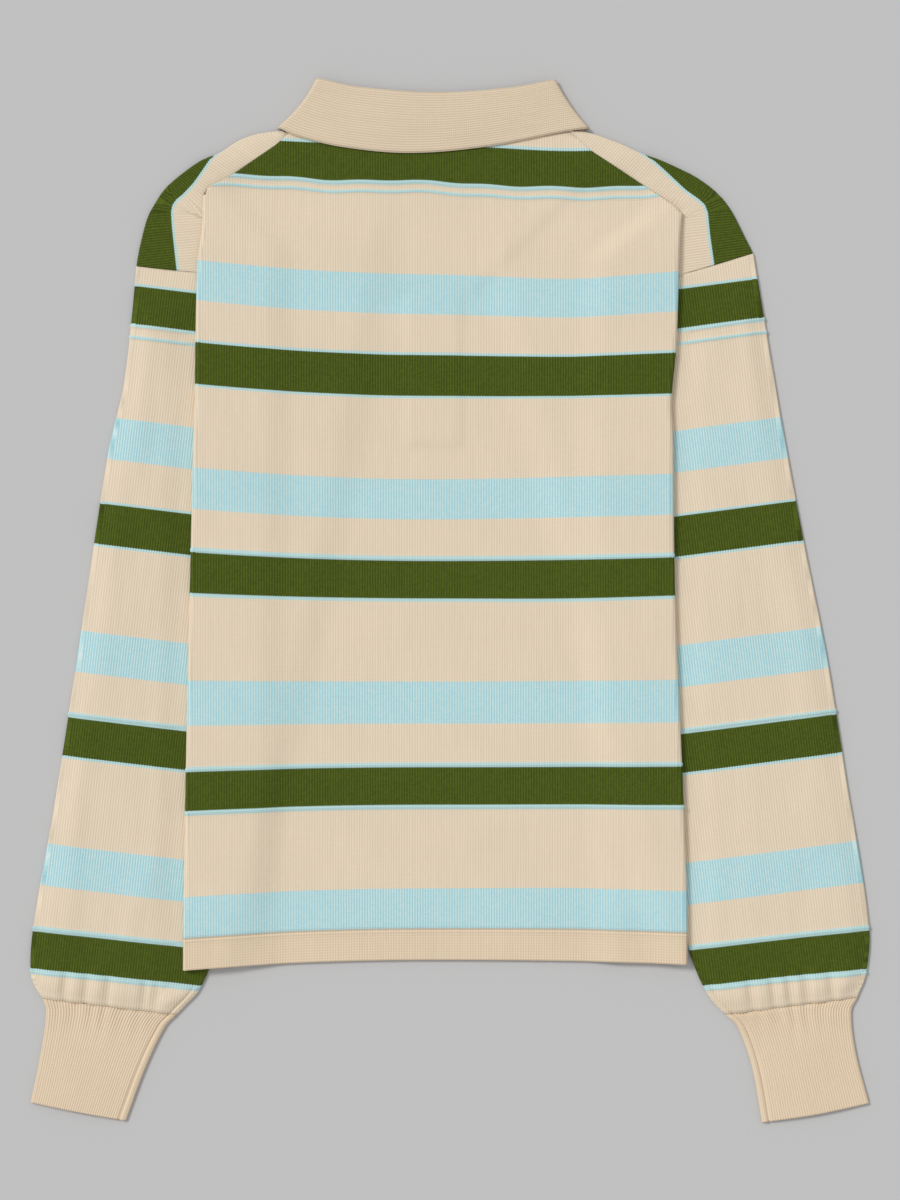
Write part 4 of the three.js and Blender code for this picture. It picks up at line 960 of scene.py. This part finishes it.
def collar_row(row, left_front, right_front):
    """One row all round the neck, from the left of its opening to the right."""
    middle_z = GROUND + 1.5 * LAYER
    stand, leaf = "stand" in row, "leaf" in row
    k, r = row["k"], row["r"]
    foot = (NECK_LEFT, NECK_RIGHT) if stand else COLLAR_EDGE_SIDES
    deep = 0 if leaf else 1.5 * LAYER - r
    inset = (deep * (1 - k) if stand else deep) + CLOTH / 2
    bow = math.sin(math.pi * k)
    left = lerp(COLLAR_FOLD_SIDES[0], foot[0], k) + inset + COLLAR_BOWS[0] * bow
    right = lerp(COLLAR_FOLD_SIDES[1], foot[1], k) - inset - COLLAR_BOWS[1] * bow
    turned = row.get("turn", 0 if leaf else math.pi)
    bulge = LAYER / 2 * math.sin(turned) if "turn" in row else 0
    facing = (math.cos(turned), math.sin(turned))
    fold_depth = LAYER / 2 + CLOTH / 2

    def y_at(f, front):
        dip = NECK_DIP * math.sin(math.pi * f) ** 2 if front else 0
        top = smooth(COLLAR_TOP, f) - fold_depth - dip + bulge
        if stand:
            return lerp(top, NECK_Y + GAP + SEAM_EXTRA - dip, k)
        if front:
            edge = collar_tip_line(lerp(*COLLAR_EDGE_SIDES, f)) + 0.2
        else:
            edge = smooth(COLLAR_EDGE, f)
        return lerp(top, edge, k)

    # How far down the band a place is, in millimetres: the band is knitted across
    down = {True: 40 + 30 * k, False: -45 * k}[stand]

    def on_ring(f, front):
        x = lerp(left + r, right - r, f)
        sign = -1 if front else 1
        z = middle_z + sign * r
        puff = 0.9 * math.sin(math.pi * clamp(k, 0, 1)) * math.sin(math.pi * f) if leaf and not front else 0
        bead = 0.35 * smoothstep(0.9, 0.98, k) if leaf and not front else 0
        place = (x, y_at(f, front), z + puff)
        return point(*place, (0, facing[1], sign * facing[0]), bead, (down, x))

    def turn_ring(side, angle):
        sign = -1 if side == "left" else 1
        centre = left + r if side == "left" else right - r
        out, up = math.cos(angle), math.sin(angle)
        y = y_at(0 if side == "left" else 1, False)
        outward = (sign * out * facing[0], facing[1], up * facing[0])
        return point(centre + sign * out * r, y, middle_z + up * r, outward, 0, (down, centre + sign * r * angle))

    opening = COLLAR_OPENING if stand else lerp(COLLAR_FOLD_OPENING, COLLAR_TIP_SPREAD, k)
    folding = lerp(COLLAR_FOLD_OPENING, COLLAR_OPENING, turned / math.pi)
    gap = (folding if "turn" in row else opening) / (right - left - 2 * r)

    def squeeze(f):
        return f * (1 - 2 * gap) if f < 0.5 else 1 - (1 - f) * (1 - 2 * gap)

    seamed = stand and k == 1
    turns = [math.pi * (i / FOLD_STEPS - 0.5) for i in range(FOLD_STEPS + 1)]
    out = [on_ring(0.5 - gap, True)]
    out += [on_ring(f if seamed else squeeze(f), True) for f in left_front]
    out += [turn_ring("left", angle) for angle in turns]
    out += [on_ring(i / 60, False) for i in range(1, 60)]
    out += [turn_ring("right", angle) for angle in turns[::-1]]
    out += [on_ring(f if seamed else squeeze(f), True) for f in right_front]
    out.append(on_ring(0.5 + gap, True))
    return out


# Stripes: level from, level to; blue and green bands and the thin pale lines beside them
BODY_BANDS = [
    (-236.6, -207.9, "blue"), (-147.7, -120.7, "green"), (-89.4, -59.2, "blue"), (0.6, 27.6, "green"),
    (57.4, 86.2, "blue"), (146.2, 175.6, "green"), (205, 233.6, "blue"), (300.3, 326.4, "green"),
]
BODY_LINES = [
    (-151, -147.7), (-120.7, -117.3), (-1.7, 0.6), (27.6, 31), (144.4, 146.2), (175.6, 177.5),
    (291.1, 293.4), (297.2, 300.3), (326.4, 328.6),
]
SLEEVE_BANDS = [
    (113.4, 143.4, "blue"), (175.6, 204.9, "green"), (268.5, 298.6, "blue"),
    (332.2, 360, "green"), (424.4, 454.4, "blue"), (486.6, 511.6, "green"),
]
SLEEVE_LINES = [
    (173.9, 175.6), (204.9, 206.7), (328.2, 332.2), (360, 361.9), (482.9, 486.6), (511.6, 515.6),
]


def linear(text):
    """An sRGB hex colour as linear red, green, blue and alpha."""
    values = [int(text[i : i + 2], 16) / 255 for i in (1, 3, 5)]
    return [v / 12.92 if v <= 0.04045 else ((v + 0.055) / 1.055) ** 2.4 for v in values] + [1]


def add(tree, kind, *inputs, **settings):
    """Adds a node, fills its shown inputs in order with sockets or values, and gives its first output."""
    made = tree.nodes.new("ShaderNode" + kind)
    for name, value in settings.items():
        setattr(made, name, value)
    for socket, value in zip([socket for socket in made.inputs if socket.enabled], inputs):
        if isinstance(value, bpy.types.NodeSocket):
            tree.links.new(value, socket)
        else:
            socket.default_value = value
    return next(socket for socket in made.outputs if socket.enabled)


def band_share(tree, level, rows):
    """1 inside any of the rows of level from and level to, and 0 outside."""
    total = 0.0
    for start, end in rows:
        inside = add(tree, "Math", level, (start + end) / 2, (end - start) / 2, operation="COMPARE")
        total = add(tree, "Math", total, inside, operation="ADD")
    return total


# Knit: how far its yarn strays from even, how its loops stand, and the shade and highlight painted on its stitches
TONE_TOP = 1.12
STREAK_SHARE = 0.09
STREAK_RUN = 38
CLOUD_SHARE = 0.07
CLOUD_SIZE = (60, 45)
FLECK_SHARE = 0.1
FLECK_TONE = 0.8
BLUE_FLECK = 0.16
BLUE_STREAK = 0.28
# Painted highlight: how much cream lies on the crests of the pale bands' stitch columns
BLUE_RIDGE_HIGHLIGHT = 0.46
GREEN_FLECK = 0.25
# Painted shade: how much deeper the green is between the stitch columns
GREEN_GROOVE_SHADE = 0.6
LOOP_BEND = 0.5
LOOP_HEIGHT = 0.45
LOOP_SHADE = 1.25
EDGE_TOOTH = 0.7
STITCH_RELIEF = 0.35
COURSE_SHARE = 0.72


def knit_material(name, base, wale, course, groove, depth, stripes=None):
    """Knit from its own stitches: columns of bent loops, uneven yarn, and bands of other yarns."""
    material = bpy.data.materials.new(name)
    material.use_nodes = True
    tree = material.node_tree
    shader = tree.nodes["Principled BSDF"]
    shader.inputs["Roughness"].default_value = 0.88
    shader.inputs["Specular IOR Level"].default_value = 0.12
    shader.inputs["Sheen Weight"].default_value = 0.03
    shader.inputs["Sheen Roughness"].default_value = 0.6
    cloth = add(tree, "SeparateXYZ", add(tree, "UVMap", uv_map="cloth")).node.outputs
    columns = add(tree, "Math", cloth["X"], wale * MM, operation="DIVIDE")
    courses = add(tree, "Math", cloth["Y"], course * MM, operation="DIVIDE")
    column = add(tree, "Math", add(tree, "Math", columns, 0.5, operation="PINGPONG"), 2, operation="MULTIPLY")
    between = add(tree, "Math", 1.0, column, operation="SUBTRACT")
    bent = add(tree, "Math", column, LOOP_BEND, courses, operation="MULTIPLY_ADD")
    loop = add(tree, "Math", add(tree, "Math", bent, 0.5, operation="PINGPONG"), 2, operation="MULTIPLY")

    # Yarn never runs quite even: flecks a loop in size, streaks along the columns, slow clouds
    cell = add(tree, "VectorMath", add(tree, "CombineXYZ", columns, courses), operation="FLOOR")
    fleck = add(tree, "TexWhiteNoise", cell)
    run = add(tree, "Math", cloth["Y"], STREAK_RUN * MM, operation="DIVIDE")
    narrow = add(tree, "Math", columns, 1.3, operation="DIVIDE")
    streak = add(tree, "TexNoise", add(tree, "CombineXYZ", narrow, run), 1.0, 2.0)
    wide = add(tree, "Math", cloth["X"], CLOUD_SIZE[0] * MM, operation="DIVIDE")
    tall = add(tree, "Math", cloth["Y"], CLOUD_SIZE[1] * MM, operation="DIVIDE")
    cloud = add(tree, "TexNoise", add(tree, "CombineXYZ", wide, tall), 1.0, 3.0)

    darker = [value * FLECK_TONE for value in base[:3]] + [1]
    share = add(tree, "Math", fleck, FLECK_SHARE, operation="MULTIPLY")
    color = add(tree, "Mix", share, base, darker, data_type="RGBA")
    if stripes:
        bands, lines, tones = stripes
        # Yarn changes at a row of loops, so each edge has the loops' small teeth
        millimetres = add(tree, "Math", cloth["Y"], 1 / MM, -EDGE_TOOTH / 2, operation="MULTIPLY_ADD")
        level = add(tree, "Math", column, EDGE_TOOTH, millimetres, operation="MULTIPLY_ADD")
        # The pale bands are knitted from two tones, so that they look woven through with cream in flecks and streaks;
        # the extra cream along the crests of the stitch columns is painted highlight
        streaked = add(tree, "Math", streak, BLUE_STREAK, operation="MULTIPLY")
        ridged = add(tree, "Math", column, BLUE_RIDGE_HIGHLIGHT, streaked, operation="MULTIPLY_ADD")
        share = add(tree, "Math", fleck, BLUE_FLECK, ridged, operation="MULTIPLY_ADD")
        blues = add(tree, "Mix", share, tones["blue"], tones["fleck"], data_type="RGBA")
        # The green bands darken to a deeper green in random flecks and, as painted shade, in the grooves between the
        # stitch columns
        green_groove_shade = add(tree, "Math", between, GREEN_GROOVE_SHADE, operation="MULTIPLY")
        share = add(tree, "Math", fleck, GREEN_FLECK, green_groove_shade, operation="MULTIPLY_ADD")
        greens = add(tree, "Mix", share, tones["green"], tones["deep"], data_type="RGBA")
        for yarn, kind in ((greens, "green"), (blues, "blue")):
            inside = band_share(tree, level, [row[:2] for row in bands if row[2] == kind])
            color = add(tree, "Mix", inside, color, yarn, data_type="RGBA")
        color = add(tree, "Mix", band_share(tree, level, lines), color, tones["line"], data_type="RGBA")

    # Shade lies in the grooves between the columns, most where a loop dips
    clouded = add(tree, "Math", cloud, CLOUD_SHARE, operation="MULTIPLY")
    uneven = add(tree, "Math", streak, STREAK_SHARE, clouded, operation="MULTIPLY_ADD")
    dip = add(tree, "Math", LOOP_SHADE, loop, operation="SUBTRACT")
    shadow = add(tree, "Math", between, dip, operation="MULTIPLY")
    loss = add(tree, "Math", shadow, groove, uneven, operation="MULTIPLY_ADD")
    light = add(tree, "Math", TONE_TOP, loss, operation="SUBTRACT")
    shade = add(tree, "CombineColor", light, light, light)
    tone = add(tree, "Mix", 1.0, color, shade, data_type="RGBA", blend_type="MULTIPLY")
    tree.links.new(tone, shader.inputs["Base Color"])
    bump = add(tree, "Bump", depth, STITCH_RELIEF * MM).node
    tree.links.new(add(tree, "Math", loop, LOOP_HEIGHT, column, operation="MULTIPLY_ADD"), bump.inputs["Height"])
    tree.links.new(bump.outputs["Normal"], shader.inputs["Normal"])
    return material


def with_alpha(color):
    return list(color) + [1]


def striped(settings, name, bands, lines):
    tones = {
        "green": with_alpha(settings.green),
        "blue": with_alpha(settings.blue),
        "line": with_alpha(settings.pale_line),
        # The cream yarn of the pale bands, which also serves as painted highlight on their column crests
        "fleck": linear("#dfe6de"),
        # A deeper green for random flecks and for painted shade between the green columns
        "deep": linear("#323d0a"),
    }
    # Cotton jersey, machine knitted: stitch columns 1.9 mm apart, as measured in the photo;
    # they give the eye fine upright lines and a dull, soft face
    course = settings.wale * COURSE_SHARE
    return knit_material(name, with_alpha(settings.beige), settings.wale, course, 0.26, 0.5, (bands, lines, tones))


class ShirtCloth(bpy.types.PropertyGroup):
    """Sizes and colours of the shirt's cloth"""

    step: bpy.props.FloatProperty(
        name="Mesh step", description="Distance between rows and columns of the cloth's mesh, in mm",
        default=3.0, min=1.5, max=12,
    )
    wale: bpy.props.FloatProperty(
        name="Stitch columns", description="Distance between the knit's drawn stitch columns, in mm",
        default=1.9, min=1, max=6,
    )
    beige: bpy.props.FloatVectorProperty(
        name="Beige", description="Ground yarn of the body and the sleeves", subtype="COLOR",
        default=linear("#e6d5bc")[:3], min=0, max=1,
    )
    green: bpy.props.FloatVectorProperty(
        name="Green", description="Yarn of the dark stripes", subtype="COLOR",
        default=linear("#55641d")[:3], min=0, max=1,
    )
    blue: bpy.props.FloatVectorProperty(
        name="Pale blue", description="Yarn of the wide pale stripes", subtype="COLOR",
        default=linear("#8ed2e0")[:3], min=0, max=1,
    )
    pale_line: bpy.props.FloatVectorProperty(
        name="Pale line", description="Yarn of the thin and rolled lines", subtype="COLOR",
        default=linear("#b9d9d9")[:3], min=0, max=1,
    )
    rib: bpy.props.FloatVectorProperty(
        name="Rib beige", description="Yarn of the cuffs and the hem", subtype="COLOR",
        default=linear("#e4cfb3")[:3], min=0, max=1,
    )
    collar: bpy.props.FloatVectorProperty(
        name="Collar beige", description="Yarn of the collar and the placket", subtype="COLOR",
        default=linear("#e2cfb4")[:3], min=0, max=1,
    )


class ShirtStage(bpy.types.PropertyGroup):
    """The floor and the light"""

    floor: bpy.props.FloatVectorProperty(
        name="Floor", description="Colour of the floor", subtype="COLOR",
        default=linear("#c0c0c0")[:3], min=0, max=1,
    )
    key: bpy.props.FloatProperty(name="Key light", description="Strength of the soft key light", default=1.7, min=0)
    fill: bpy.props.FloatProperty(name="Fill light", description="Strength of the light all round", default=0.62, min=0)
    distance: bpy.props.FloatProperty(
        name="Camera distance", description="Height of the camera above the floor", default=2.04, min=0.5, unit="LENGTH",
    )


def dress(obj, node):
    """Ties a piece to the root and hides its solid."""
    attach(obj, "root")
    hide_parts(node)


def cloth_step():
    return bpy.context.scene.shirt_cloth.step * 1


class SHIRT_OT_body(bpy.types.Operator):
    """Makes the back and the front with its shoulders"""

    bl_idname = "shirt.body"
    bl_label = "Back and front"

    def execute(self, context):
        cloth = context.scene.shirt_cloth
        material = striped(cloth, "cotton_jersey_body", BODY_BANDS, BODY_LINES)
        back = make_back(cloth_step()).build("back_cloth", material)
        dress(back, "back")
        front = make_front(cloth_step()).build("front_cloth", material)
        dress(front, "front")
        return {"FINISHED"}


class SHIRT_OT_hem(bpy.types.Operator):
    """Makes the hem bands of the back and the front"""

    bl_idname = "shirt.hem"
    bl_label = "Hem bands"

    def execute(self, context):
        cloth = context.scene.shirt_cloth
        # Plain knit band: the same columns run on, with flatter stitches
        material = knit_material("cotton_band_knit", with_alpha(cloth.rib), cloth.wale, cloth.wale, 0.28, 0.5)
        for kind in ("back", "front"):
            band = make_hem(kind, cloth_step()).build(f"hem_{kind}_band", material)
            dress(band, f"hem_{kind}")
        return {"FINISHED"}


class SHIRT_OT_sleeves(bpy.types.Operator):
    """Makes the two sleeves, pressed flat and gathered at the wrist"""

    bl_idname = "shirt.sleeves"
    bl_label = "Sleeves"

    def execute(self, context):
        cloth = context.scene.shirt_cloth
        for side in ("left", "right"):
            start, end = SLEEVES[side]["first_green"]
            ridges = SLEEVES[side]["ridges"]
            bands = [(start, end, "green")] + SLEEVE_BANDS
            lines = [(start - 1.9, start), (end, ridges[0] + 0.9), (ridges[1] - 1.1, ridges[1] + 1.2)]
            material = striped(cloth, f"cotton_jersey_sleeve_{side}", bands, lines + SLEEVE_LINES)
            sleeve = make_sleeve(side, cloth_step()).build(f"sleeve_{side}_cloth", material)
            dress(sleeve, f"sleeve_{side}")
        return {"FINISHED"}


class SHIRT_OT_cuffs(bpy.types.Operator):
    """Makes the two ribbed cuffs"""

    bl_idname = "shirt.cuffs"
    bl_label = "Cuffs"

    def execute(self, context):
        cloth = context.scene.shirt_cloth
        # Ribbed cotton: its ribs are in the mesh, and the stitches between them are too small to show
        material = knit_material("cotton_rib_cuff", with_alpha(cloth.rib), RIB_PITCH, 1.6, 0.26, 0.4)
        for side in ("left", "right"):
            cuff = make_cuff(side).build(f"cuff_{side}_rib", material)
            dress(cuff, f"cuff_{side}")
        return {"FINISHED"}


class SHIRT_OT_collar(bpy.types.Operator):
    """Makes the collar, folded over at its top"""

    bl_idname = "shirt.collar"
    bl_label = "Collar"

    def execute(self, context):
        cloth = context.scene.shirt_cloth
        # Firm cotton knit, knitted across: its courses give the eye fine level lines
        material = knit_material("cotton_collar_knit", with_alpha(cloth.collar), 1.85, 1.55, 0.32, 0.6)
        collar = make_collar(cloth_step()).build("collar_knit", material)
        dress(collar, "collar")
        return {"FINISHED"}


GRAIN_SHARE = 0.25
GRAIN_TONE = 0.72
GRAIN_RELIEF = 0.2


def node_finish(name, color, roughness, grain_mm, depth):
    """A finish for a carried-over solid, with its grain from the solid's own place."""
    material = bpy.data.materials.new(name)
    material.use_nodes = True
    tree = material.node_tree
    shader = tree.nodes["Principled BSDF"]
    shader.inputs["Roughness"].default_value = roughness
    place = add(tree, "TexCoord").node.outputs["Object"]
    grain = add(tree, "TexNoise", place, 1 / (grain_mm * MM), 3.0)
    share = add(tree, "Math", grain, GRAIN_SHARE, operation="MULTIPLY")
    darker = [value * GRAIN_TONE for value in color[:3]] + [1]
    tree.links.new(add(tree, "Mix", share, color, darker, data_type="RGBA"), shader.inputs["Base Color"])
    bump = add(tree, "Bump", depth, GRAIN_RELIEF * MM).node
    tree.links.new(grain, bump.inputs["Height"])
    tree.links.new(bump.outputs["Normal"], shader.inputs["Normal"])
    return material


class SHIRT_OT_placket(bpy.types.Operator):
    """Finishes the placket and its buttons, which lie face down"""

    bl_idname = "shirt.placket"
    bl_label = "Placket and buttons"

    def execute(self, context):
        cloth = context.scene.shirt_cloth
        # Pressed double knit: a fine, dull grain
        knit = node_finish("cotton_placket_knit", with_alpha(cloth.collar), 0.9, 1.6, 0.5)
        # Moulded resin with a cloudy cream tone and a soft gloss
        resin = node_finish("cream_resin_button", linear("#e6dcc6"), 0.35, 4.0, 0.05)
        bpy.data.objects["placket"].data.materials.clear()
        bpy.data.objects["placket"].data.materials.append(knit)
        for name in ("button_1", "button_2", "button_3"):
            bpy.data.objects[name].data.materials.clear()
            bpy.data.objects[name].data.materials.append(resin)
        return {"FINISHED"}


class SHIRT_OT_stage(bpy.types.Operator):
    """Makes the floor, the light and the camera"""

    bl_idname = "shirt.stage"
    bl_label = "Floor, light and camera"

    def execute(self, context):
        scene = context.scene
        stage = scene.shirt_stage
        mesh = bpy.data.meshes.new("floor")
        mesh.from_pydata([(-4, -4, -0.0003), (4, -4, -0.0003), (4, 4, -0.0003), (-4, 4, -0.0003)], [], [(0, 1, 2, 3)])
        floor = bpy.data.objects.new("floor", mesh)
        scene.collection.objects.link(floor)
        paper = bpy.data.materials.new("pale_paper")
        paper.use_nodes = True
        paper.node_tree.nodes["Principled BSDF"].inputs["Base Color"].default_value = with_alpha(stage.floor)
        paper.node_tree.nodes["Principled BSDF"].inputs["Roughness"].default_value = 0.95
        paper.node_tree.nodes["Principled BSDF"].inputs["Specular IOR Level"].default_value = 0.1
        mesh.materials.append(paper)
        world = bpy.data.worlds.new("studio")
        world.use_nodes = True
        world.node_tree.nodes["Background"].inputs["Color"].default_value = [1, 1, 1, 1]
        world.node_tree.nodes["Background"].inputs["Strength"].default_value = stage.fill
        scene.world = world
        lamp = bpy.data.lights.new("soft_key", "SUN")
        lamp.energy = stage.key
        lamp.angle = math.radians(16)
        key = bpy.data.objects.new("soft_key", lamp)
        # The light comes from the upper left, 45 degrees up
        key.rotation_euler = (math.radians(-24), math.radians(-39), 0)
        scene.collection.objects.link(key)
        lens = bpy.data.cameras.new("camera")
        lens.lens = 85
        lens.sensor_width = 36
        lens.clip_end = 20
        camera = bpy.data.objects.new("camera", lens)
        # The photograph's middle, in the shirt's frame
        camera.location = (0.0003, -0.0014, stage.distance)
        scene.collection.objects.link(camera)
        scene.camera = camera
        scene.view_settings.view_transform = "Standard"
        return {"FINISHED"}


class SHIRT_PT_panel(bpy.types.Panel):
    """Lists the shirt's pieces and settings"""

    bl_idname = "SHIRT_PT_panel"
    bl_label = "Knit shirt"
    bl_space_type = "VIEW_3D"
    bl_region_type = "UI"
    bl_category = "Shirt"

    def draw(self, context):
        for operator in OPERATORS:
            self.layout.operator(operator.bl_idname)
        for group in (context.scene.shirt_cloth, context.scene.shirt_stage):
            for name in group.__annotations__:
                self.layout.prop(group, name)


OPERATORS = (
    SHIRT_OT_stage, SHIRT_OT_sleeves, SHIRT_OT_cuffs, SHIRT_OT_body,
    SHIRT_OT_hem, SHIRT_OT_collar, SHIRT_OT_placket,
)
CLASSES = (ShirtCloth, ShirtStage, *OPERATORS, SHIRT_PT_panel)


def register():
    for made in CLASSES:
        bpy.utils.register_class(made)
    bpy.types.Scene.shirt_cloth = bpy.props.PointerProperty(type=ShirtCloth)
    bpy.types.Scene.shirt_stage = bpy.props.PointerProperty(type=ShirtStage)


def unregister():
    del bpy.types.Scene.shirt_stage
    del bpy.types.Scene.shirt_cloth
    for made in reversed(CLASSES):
        bpy.utils.unregister_class(made)


def main():
    register()
    bpy.ops.shirt.stage()
    bpy.ops.shirt.sleeves()
    bpy.ops.shirt.cuffs()
    bpy.ops.shirt.body()
    bpy.ops.shirt.hem()
    bpy.ops.shirt.collar()
    bpy.ops.shirt.placket()
    bpy.context.view_layer.update()


if __name__ == "__main__":
    main()
